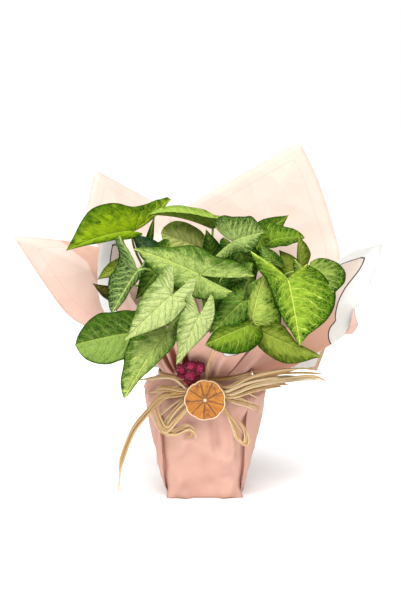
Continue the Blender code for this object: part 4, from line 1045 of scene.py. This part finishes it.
def main_point(a, b):
    angle, rim = rim_at(MAIN_RIM, a * (len(MAIN_RIM) - 1))
    row = round(b * main_rows)
    fold = pleat(angle)
    if row < len(body_rows):
        radius, height, amount = body_rows[row]
        turned, shaped = squared(angle, radius, height, amount)
        gather = max(0, 1 - abs(height - GATHER_AT) / GATHER_REACH)
        shaped += max(0, fold) * gather * GATHER_OUT
        point = polar(turned, shaped, height)
        if abs(angle) < TUCK[3][0]:
            point.y -= PRESS_DEPTH * pressed(point)
        point = tucked(angle, radius, height, point)
        side = clip((height - 3) / 20) * clip((NECK_LOW - height) / 10)
        uneven = crumple(point, 28, 1.6) + creases(point, 19, 2.2) + 0.6
        return point + polar(turned, 1, 0) * side * uneven
    t = (row - len(body_rows) + 1) / COLLAR_ROWS
    lift = COLLAR_LIFT - 0.27 * max(0, 1 - abs(angle - 95) / 9)
    point = collar_point(angle, rim, NECK_RADIUS, NECK_HIGH, t, lift, COLLAR_FLARE)
    spread = math.sin(math.pi * min(1, t * 1.15)) * (1 - t) * COLLAR_PLEATS
    out = fold * spread + (crumple(point, 30, 2.0) + creases(point, 14, 1.2)) * t * (1 - t) * 2
    return point + polar(angle, 1, -0.5).normalized() * out


def main_border(angle):
    """How much nearer to the edge the print lies, in mm. The rim is folded over at the front left and
    along the lower right, and the border narrows away from the middle of the front flap."""
    if -61 < angle < 0 or 88.5 < angle < 135:
        return None
    if angle > 74:
        return 5 * min(1, (angle - 74) / 6, max(0, 91 - angle) / 5)
    if angle < -61:
        return -1.5
    return max(-14, 18 - 2.6 * abs(angle - 12)) if angle < 12 else max(0, 18 - 1.6 * (angle - 12))


paper_sheet("paper_round_pot", MAIN_RIM, main_rows, main_point, "wrap_main_sheet", main_border, "round sheet")


def curl_point(a, b):
    """The lower corner at the right rolls back on itself, towards the front."""
    step = next(i for i, point in enumerate(MAIN_RIM) if point[0] == CURL_FROM)
    _, foot = rim_at(MAIN_RIM, step + lerp(0.1, 1, a))
    turn, wide = CURL_TURN * b, CURL_WIDEST * min(1, 0.08 + 1.5 * a)
    return foot + Vector((math.sin(turn) * wide - 2.4, -(1 - math.cos(turn)) * wide, 0))


bm = bmesh.new()
print_layer = bm.loops.layers.uv.new("print")
add_surface(bm, 16, 20, curl_point, [(print_layer, lambda a, b: (7.0, 0.5))])
bmesh.ops.recalc_face_normals(bm, faces=bm.faces)
nearest = min(bm.faces, key=lambda face: face.calc_center_median().y)
if nearest.normal.y < 0:
    bmesh.ops.reverse_faces(bm, faces=bm.faces)
paper_piece("paper_curled_corner", bm, "wrap_main_sheet", paper_finish("paper_plain_curl", "curl"))


def behind_sheet(name, rim, foot, neck, stands_for, border, plain_face, lowest=0.0):
    """A sheet that stands on the soil behind the stems, held in the neck and fanned out above it."""
    below = [(foot, SOIL_TOP + 0.4), (lerp(foot, neck, 0.5), 104), (neck + 0.5, NECK_LOW - 2),
             (neck, NECK_HIGH)]
    rows = BEHIND_ROWS + COLLAR_ROWS

    def place(a, b):
        angle, edge = rim_at(rim, a * (len(rim) - 1))
        row = round(b * rows)
        if row < BEHIND_ROWS:
            i = min(int(row * 3 / BEHIND_ROWS), 2)
            t = row * 3 / BEHIND_ROWS - i
            return polar(angle, *[lerp(p, q, t) for p, q in zip(below[i], below[i + 1])])
        t = (row - BEHIND_ROWS) / COLLAR_ROWS
        point = collar_point(angle, edge, neck, NECK_HIGH, t, FAN_LIFT, FAN_FLARE)
        out = pleat(angle * 1.7) * math.sin(math.pi * min(1, t * 1.1)) * (1 - t) * FAN_PLEATS
        out += (crumple(point, 45, 3.0) + crumple(point, 15, 0.5)) * t * (1 - t) * 2
        return point + polar(angle, 1, 0) * out

    paper_sheet(name, rim, rows, place, stands_for, border, plain_face, lowest)


behind_sheet("paper_left_fan", LEFT_RIM, LEFT_FOOT, LEFT_NECK, "wrap_left_sheet", lambda angle: 0, "left fan")
behind_sheet("paper_right_fan", RIGHT_RIM, RIGHT_FOOT, RIGHT_NECK, "wrap_right_sheet",
             lambda angle: None if angle < 111.5 else 4 if angle < 117 else 0, "right fan", lowest=-20.0)


# Raffia. A hank of dried palm strips is wound round the neck of the paper and knotted in front, and its
# loops and frayed ends spread to both sides. Each strip is flat, thin and a little twisted.
RING_INNER, RING_OUTER, RING_LOW, RING_HIGH = 45.3, 47.2, 118.9, 122.6
# The strands from the knot out, each drawn as a few strips: right of the axis, up, depth.
STRANDS = [
    [(2, 118, -52), (20, 109, -66), (42, 118, -74), (70, 125, -82), (98, 127, -79), (121, 126, -72)],
    [(3, 116, -52), (24, 105, -67), (50, 114, -77), (80, 120, -85), (104, 123, -81), (117, 120, -76),
     (115, 111, -74)],
    [(2, 115, -52), (24, 101, -67), (50, 108, -72), (72, 113, -75), (84, 112, -74)],
    [(2, 113, -52), (22, 99, -66), (42, 94, -66), (56, 89, -64)],
    [(-2, 113, -52), (-20, 103, -66), (-42, 99, -67), (-55, 86, -66), (-72, 64, -60), (-83, 34, -57),
     (-86, 12, -56), (-87, 3, -55)],
    [(-2, 114, -52), (-20, 97, -66), (-36, 80, -65), (-42, 66, -64), (-31, 64, -63), (-19, 69, -63),
     (-13, 62, -62), (-22, 58, -61)],
    [(-1, 114, -52), (-16, 92, -67), (-30, 77, -67), (-41, 68, -68), (-49, 82, -67), (-54, 97, -66)],
    [(-2, 115, -52), (-20, 105, -67), (-40, 107, -67), (-58, 104, -63)],
    [(1, 114, -52), (18, 92, -66), (26, 76, -65), (33, 58, -64), (41, 54, -63), (41, 66, -65), (30, 82, -67)],
    [(-2, 113, -52), (-16, 107, -66), (-34, 119, -68), (-68, 117, -68)],
    [(2, 114, -53), (3, 126, -64), (8, 140, -80), (14, 152, -102)],
]
STRIPS_PER_STRAND = (8, 6, 5, 4, 4, 6, 5, 5, 5, 2, 2)
# Thin single strips that lie over the shoulders of the paper.
WISPS = [
    [(-4, 113, -54), (-25, 112, -66), (-46, 104, -64), (-59, 92, -52)],
    [(-4, 112, -54), (-28, 106, -66), (-48, 92, -65), (-58, 79, -54)],
    [(-4, 112, -54), (-24, 98, -66), (-42, 84, -66), (-52, 70, -60)],
    [(-4, 114, -54), (-24, 118, -64), (-44, 120, -56), (-60, 114, -42)],
    [(4, 113, -54), (24, 104, -66), (42, 95, -65), (58, 82, -52)],
    [(4, 113, -54), (26, 109, -66), (44, 103, -64), (57, 97, -50)],
    [(3, 112, -54), (16, 92, -66), (28, 76, -66), (40, 58, -63)],
    [(3, 115, -52), (24, 119, -58), (46, 125, -56), (66, 129, -52)],
]
STRAND_DRIFT, FIRST_STRANDS_LOWER, IN_BOX = 3.6, 2.4, 0.8
STRIP_THICK, STRIP_TAPER = 0.28, 0.15
# A strip's outline where it is cut across: part of its thickness, part of its width.
STRIP_SECTION = [(0, 1), (0.8, 0.5), (1, 0), (0.8, -0.5), (0, -1), (-0.8, -0.5), (-1, 0), (-0.8, 0.5)]
BAND_SECTION = [(0, 1), (0.5, 0.5), (0.7, 0), (0.5, -0.5), (0, -1), (-0.5, -0.5), (-0.7, 0), (-0.5, 0.5)]
WISP_STRIPS, WINDINGS, WINDING_STEPS, KNOT_STRIPS = 5, 7, 36, 9


def add_strip(bm, path, width, twist, shade, layers):
    """A flat strip along the path, with its face to the front, twisted a little and tapered at its end."""
    last = len(path) - 1
    frames = []
    for i, (front, side) in enumerate(frames_along(path, Vector((0, -1, 0)))):
        turn = twist * math.sin(3.1 * i / last + shade * 9)
        frames.append((front * math.cos(turn) + side * math.sin(turn),
                       side * math.cos(turn) - front * math.sin(turn)))

    def place(a, b):
        i = round(b * last)
        narrow = min(1, (1 - b) / STRIP_TAPER + 0.12, b / 0.05 + 0.3)
        out, across = STRIP_SECTION[round(8 * a) % 8]
        step = frames[i][0] * out * STRIP_THICK / 2 + frames[i][1] * across * width * narrow / 2
        return path[i] + step

    maps = [(layers["strip"], lambda a, b: (abs(2 * a - 1) * width, b * last * 3 + shade * 50))]
    verts = add_surface(bm, 8, last, place, maps)
    mark(verts, layers["shade"], shade)
    close_ends(bm, verts, 8)


def keep_inside(point, low, high, margin):
    """Moves a point back inside the box of the solid that its piece stands for, less this margin."""
    for k in range(3):
        point[k] = min(max(point[k], low[k] / MM + margin), high[k] / MM - margin)


raffia_draw = random.Random(21)
bm = bmesh.new()
layers = {"strip": bm.loops.layers.uv.new("strip"), "shade": bm.verts.layers.float_color.new("shade")}
tie_low, tie_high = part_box("raffia_tie")
for strand, strips in zip(STRANDS, STRIPS_PER_STRAND):
    lower = FIRST_STRANDS_LOWER if strand in STRANDS[:2] else 0
    for number in range(strips):
        points = []
        reach = raffia_draw.uniform(0.72, 1.0) if number and strips > 2 else 1.0
        drift = Vector((raffia_draw.uniform(-1, 1), raffia_draw.uniform(-1, 1)))
        drift *= STRAND_DRIFT if number else 0
        for i, (right, up, depth) in enumerate(strand):
            t = i / (len(strand) - 1)
            spread = 0.35 + 1.0 * t
            points.append(seen(right + drift.x * spread, up + drift.y * spread * 1.2 - lower * spread,
                               depth - 0.5 * number * (1 - 0.5 * t) if i else depth))
        path = smooth_path(points, 7)
        path = path[: max(6, round(len(path) * reach))]
        for point in path:
            keep_inside(point, tie_low, tie_high, IN_BOX)
        add_strip(bm, path, raffia_draw.uniform(0.8, 3.2), raffia_draw.uniform(0.1, 0.7),
                  raffia_draw.random(), layers)
for wisp in WISPS:
    for _ in range(WISP_STRIPS):
        wander = Vector((raffia_draw.uniform(-3, 3), raffia_draw.uniform(-5, 5), 0))
        path = smooth_path([seen(*where) + wander * i / 3 for i, where in enumerate(wisp)], 8)
        path = path[: round(len(path) * raffia_draw.uniform(0.75, 1.0))]
        for point in path:
            keep_inside(point, tie_low, tie_high, IN_BOX)
        add_strip(bm, path, raffia_draw.uniform(0.5, 1.3), raffia_draw.uniform(0.1, 0.6),
                  raffia_draw.random(), layers)
for number in range(WINDINGS):
    low = lerp(RING_LOW + 0.5, RING_HIGH - 0.5, raffia_draw.random())
    phase = raffia_draw.uniform(0, 360)
    radius = lerp(RING_INNER, RING_OUTER, 0.3 + 0.1 * number)
    path = [polar(phase + 360 / WINDING_STEPS * i, radius + 0.3 * math.sin(i + phase),
                  low + 0.7 * math.sin(i / 5 + phase)) for i in range(WINDING_STEPS)]
    width = raffia_draw.uniform(1.2, 2.0)

    def band_point(a, b):
        at = path[round(b * WINDING_STEPS) % WINDING_STEPS]
        across, height = BAND_SECTION[round(8 * a) % 8]
        return at + at.xy.normalized().to_3d() * across * 0.5 + UP * height * width / 2

    maps = [(layers["strip"], lambda a, b: (abs(2 * a - 1) * 2, b * 150))]
    verts = add_surface(bm, 8, WINDING_STEPS, band_point, maps)
    mark(verts, layers["shade"], raffia_draw.random())
    merge(bm, verts)
for number in range(KNOT_STRIPS):
    angle = raffia_draw.uniform(-0.9, 0.9)
    middle = Vector((raffia_draw.uniform(-2, 2), -50.6 - 0.35 * number, 117 + raffia_draw.uniform(-1.5, 2.5)))
    side = Vector((math.cos(angle), 0, math.sin(angle)))
    path = [middle + side * x + Vector((0, 0.06 * x * x, 0)) for x in (-7, -5, -3, -1, 1, 3, 5, 7)]
    add_strip(bm, path, raffia_draw.uniform(1.6, 2.6), 0.3, raffia_draw.random(), layers)

raffia_look = Finish("raffia", 0.6, Specular_IOR_Level=0.3)
strip_place = raffia_look.lay("strip")
fibres = raffia_look.grain(strip_place, 1.0, 4, 0.7, squash=(5.0, 0.06, 1))
dried = raffia_look.grain(raffia_look.place(), 45, 3)
shade = raffia_look.split(raffia_look.carried("shade"))[0]
straw = raffia_look.blend(shade, tint("BE9658"), tint("EAD9B4"))
straw = raffia_look.blend(raffia_look.fade(fibres, 0.35, 0.62), tint("98703E"), straw)
raffia_look.colour(raffia_look.blend(raffia_look.fade(dried, 0.62, 0.75), straw, tint("A07848")))
raffia_look.relief(fibres, 0.3)
finish_piece("raffia_bow", bm, [raffia_look], "raffia_tie", merge_mm=0.0005)


# Dried orange slice. A thin round cut across the fruit, dried stiff: a pale shrunken rim of peel, nine
# amber segments sunk between darker membranes, and a pale core. It is glued on over the knot.
SLICE_RADIUS, SLICE_THICKNESS, SLICE_AT = 20.0, 3.6, (0, 97, -70)
SEGMENTS, SLICE_TURN = 9, 0.35
ROW_CROWDING, SLICE_CORE, SLICE_FLESH, SLICE_RIM, SLICE_EDGE = 0.8, 0.12, 0.9, 0.95, 0.985
# The rings from the core out: two parts of the radius that the colour comes up between, and the colour.
SLICE_RINGS = [(0.1, 0.06, "DCC29C"), (0.9, 0.93, "8E5414"), (0.935, 0.95, "E6CCA6"), (0.985, 1.0, "D98A3C")]
slice_middle = seen(*SLICE_AT)
slice_draw = random.Random(4)
segment_swell = [slice_draw.uniform(0.6, 1.2) for _ in range(SEGMENTS)]


def slice_height(turn, out):
    """Half thickness of the slice: sunk flesh, standing membranes, a rim and a core."""
    phase = (turn / (2 * math.pi) * SEGMENTS + SLICE_TURN) % SEGMENTS
    number, within = int(phase) % SEGMENTS, phase % 1
    wall = min(within, 1 - within)
    flesh = min(1, wall * out * 9) * clip((SLICE_FLESH - out) * 9) * clip((out - SLICE_CORE) * 8)
    pulp = noise.noise(Vector((math.cos(turn) * out * 9, math.sin(turn) * out * 9, 3))) * 0.35
    sunk = flesh * (1.1 * segment_swell[number] - 0.5 * math.sin(math.pi * within) + pulp)
    rim = 0.25 * math.exp(-((out - SLICE_RIM) / 0.04) ** 2)
    half = SLICE_THICKNESS / 2
    return half - 0.25 - sunk * 1.1 + rim if out < SLICE_EDGE else half * 0.7


def slice_point(front):
    def place(a, b):
        turn, out = 2 * math.pi * a, b**ROW_CROWDING
        swell = 1.005 - 0.05 * (1 - abs(math.sin(SEGMENTS / 2 * turn))) ** 2 - 0.01 * math.sin(3 * turn + 1)
        reach = SLICE_RADIUS * out * swell
        half = slice_height(turn, out) if b < 1 else 0
        warp = 0.35 * math.sin(2 * turn) * out
        return slice_middle + Vector((reach * math.cos(turn), -front * half + warp * (1 - out),
                                      reach * math.sin(turn)))
    return place


bm = bmesh.new()
slice_layer = bm.loops.layers.uv.new("cut")
slice_lay = [(slice_layer, lambda a, b: (a * SEGMENTS + SLICE_TURN, b**ROW_CROWDING))]
for front in (1, -1):
    add_surface(bm, 144, 30, slice_point(front), slice_lay)
orange = Finish("dried_orange", 0.4, Subsurface_Weight=0.25, Subsurface_Scale=0.004,
                Subsurface_Radius=(1.0, 0.5, 0.1))
cut = orange.lay("cut")
turn_at, out_at = orange.split(cut)[:2]
wobble = orange.times(orange.calc("SUBTRACT", orange.grain(orange.place(), 260, 3), 0.5), 0.12)
wall_at = orange.calc("PINGPONG", orange.plus(turn_at, wobble), 0.5)
wall_mm = orange.times(orange.times(wall_at, out_at), 14.0)
pulp = orange.grain(cut, 1.0, 4, 0.6, squash=(9, 2.2, 1))
flesh = orange.blend(orange.fade(pulp, 0.3, 0.7), tint("9A5202"), tint("C88404"))
flesh = orange.blend(orange.fade(orange.grain(orange.place(), 120, 3), 0.55, 0.75), flesh, tint("7C3E02"))
flesh = orange.blend(orange.fade(wall_mm, 1.1, 0.25), flesh, tint("5E2E06"))
flesh = orange.blend(orange.fade(wall_mm, 0.18, 0.04), flesh, tint("A87038"))
ring_wobble = orange.plus(out_at, orange.times(wobble, 0.25))
for none, full, code in SLICE_RINGS:
    flesh = orange.blend(orange.fade(ring_wobble, none, full), flesh, tint(code))
orange.colour(flesh)
orange.gloss(pulp, 0.3, 0.55)
orange.relief(pulp, 0.4)
finish_piece("orange_slice_dried", bm, [orange], "orange_slice")


# Crimson flower head. A dried cockscomb bloom of ruffled velvety lobes, glowing magenta where the light
# catches the ruffles, on a short stalk pushed in behind the raffia band.
FLOWER_AT = (-14, 122, -61.5)
# The lobes of the head: the middle of each, from the head's middle, and its radius.
LOBES = [((0, -1, 1), 9.0), ((-9, -2, 6), 5.5), ((8, -5, 8), 6), ((-5, 0, -8), 5.5), ((0, -6, 10), 5.5),
         ((-9, 0, -3), 5.5)]
PETALS_PER_MM2, PETAL_TURN = 0.16, 2.39996
LOBE_CORE, LOBE_DEPTH = 0.82, 0.75
STALK_RADIUS, STALK_GAP, STALK_TURN = 1.2, 0.9, -12.5
flower_middle = seen(*FLOWER_AT)
flower_low, flower_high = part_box("crimson_flower")
flower_draw = random.Random(5)
bm = bmesh.new()
tip_layer = bm.verts.layers.float_color.new("tip")
for lobe_offset, lobe_radius in LOBES:
    lobe_middle = flower_middle + Vector(lobe_offset)
    for vert in bmesh.ops.create_icosphere(bm, subdivisions=2, radius=lobe_radius * LOBE_CORE * MM)["verts"]:
        vert.co = Vector((vert.co.x, vert.co.y * LOBE_DEPTH, vert.co.z)) + lobe_middle * MM
    petals = round(4 * math.pi * lobe_radius**2 * PETALS_PER_MM2)
    for number in range(petals):
        z = 1 - 2 * (number + 0.5) / petals
        turn = number * PETAL_TURN
        level = math.sqrt(1 - z * z)
        out = Vector((level * math.cos(turn), level * math.sin(turn), z))
        side = out.cross(Vector((0.3, 0.2, 0.9))).normalized()
        spin = flower_draw.uniform(0, math.pi)
        side = side * math.cos(spin) + out.cross(side) * math.sin(spin)
        other = out.cross(side)
        petal = bmesh.ops.create_icosphere(bm, subdivisions=1, radius=1)["verts"]
        wide, tall = flower_draw.uniform(1.0, 1.7), flower_draw.uniform(1.2, 2.2)
        bend = flower_draw.uniform(-0.6, 0.6)
        for vert in petal:
            x, y, up = vert.co
            flare = 1 + 0.5 * up
            local = side * x * wide * flare + other * (y * 0.38 + bend * x * x) + out * up * tall
            spot = out * lobe_radius * 0.9 + local
            place = Vector((spot.x, spot.y * 0.8, spot.z)) + lobe_middle
            keep_inside(place, flower_low, flower_high, 0.2)
            vert.co = place * MM
            mark([vert], tip_layer, max(0.0, up) * (0.6 + 0.4 * flower_draw.random()))
against_band = polar(STALK_TURN, RING_OUTER + STALK_GAP, (RING_LOW + RING_HIGH) / 2)
stalk_path = smooth_path([flower_middle, flower_middle + Vector((0, 6, -6)), against_band], 6)
add_rod(bm, stalk_path, [STALK_RADIUS] * len(stalk_path), 10, 0)
crimson = Finish("crimson_petals", 0.7, Sheen_Weight=0.35, Sheen_Roughness=0.4, Specular_IOR_Level=0.25)
tip_at = crimson.split(crimson.carried("tip"))[0]
velvet = crimson.grain(crimson.place(), 600, 4, 0.6)
# The petals' crimson, with painted shade darkening them towards their bases and a painted highlight on their
# tips.
petal_colour = crimson.blend(crimson.fade(tip_at, 0.25, 0.8), tint("400212"), tint("A8062E"))
petal_colour = crimson.blend(crimson.fade(tip_at, 0.84, 1.0), petal_colour, tint("DC2C6C"))
crimson.colour(crimson.blend(crimson.times(velvet, 0.4), petal_colour, tint("740820")))
crimson.relief(velvet, 0.3)
finish_piece("crimson_bloom", bm, [crimson], "crimson_flower", merge_mm=0.0002)


# The studio. A white floor that runs out of sight, in a white surround that lights less than it shows.
# One soft light stands high at the front left, one hangs above, and broad daylight falls from the front.
FLOOR_REACH = 12
SURROUND_LIGHTS, SURROUND_SHOWS = 0.56, 1.0


def studio_light(name, place, aim, size, watts):
    data = bpy.data.lights.new(name, "AREA")
    data.shape = "RECTANGLE"
    data.size, data.size_y = size
    data.energy = watts
    lamp = bpy.data.objects.new(name, data)
    lamp.location = place
    lamp.rotation_euler = (Vector(aim) - Vector(place)).to_track_quat("-Z", "Y").to_euler()
    bpy.context.scene.collection.objects.link(lamp)


bm = bmesh.new()
bmesh.ops.create_grid(bm, x_segments=1, y_segments=1, size=FLOOR_REACH)
floor_mesh = bpy.data.meshes.new("floor")
bm.to_mesh(floor_mesh)
bm.free()
floor = bpy.data.objects.new("floor", floor_mesh)
bpy.context.scene.collection.objects.link(floor)
white = Finish("white_floor", 0.8, Specular_IOR_Level=0.1)
white.colour(tint("FFFFFF"))
floor_mesh.materials.append(white.material)

world = bpy.data.worlds.new("surround")
world.use_nodes = True
nodes, links = world.node_tree.nodes, world.node_tree.links
glow, looked_at = nodes["Background"], nodes.new("ShaderNodeLightPath")
strength = nodes.new("ShaderNodeMapRange")
strength.inputs["To Min"].default_value = SURROUND_LIGHTS
strength.inputs["To Max"].default_value = SURROUND_SHOWS
glow.inputs["Color"].default_value = (1, 1, 1, 1)
links.new(looked_at.outputs["Is Camera Ray"], strength.inputs["Value"])
links.new(strength.outputs["Result"], glow.inputs["Strength"])
bpy.context.scene.world = world
studio_light("over_the_front", (-0.6, -1.0, 1.5), (0, 0, 0.2), (0.7, 0.7), 26)
studio_light("above", (0.1, -0.2, 1.8), (0, 0.05, 0.2), (1.0, 0.7), 16)
daylight = bpy.data.lights.new("daylight", "SUN")
daylight.energy, daylight.angle = 2.4, 0.7
lamp = bpy.data.objects.new("daylight", daylight)
lamp.rotation_euler = Vector((-0.15, 0.75, -0.9)).to_track_quat("-Z", "Y").to_euler()
bpy.context.scene.collection.objects.link(lamp)
bpy.context.scene.view_settings.view_transform = "Standard"
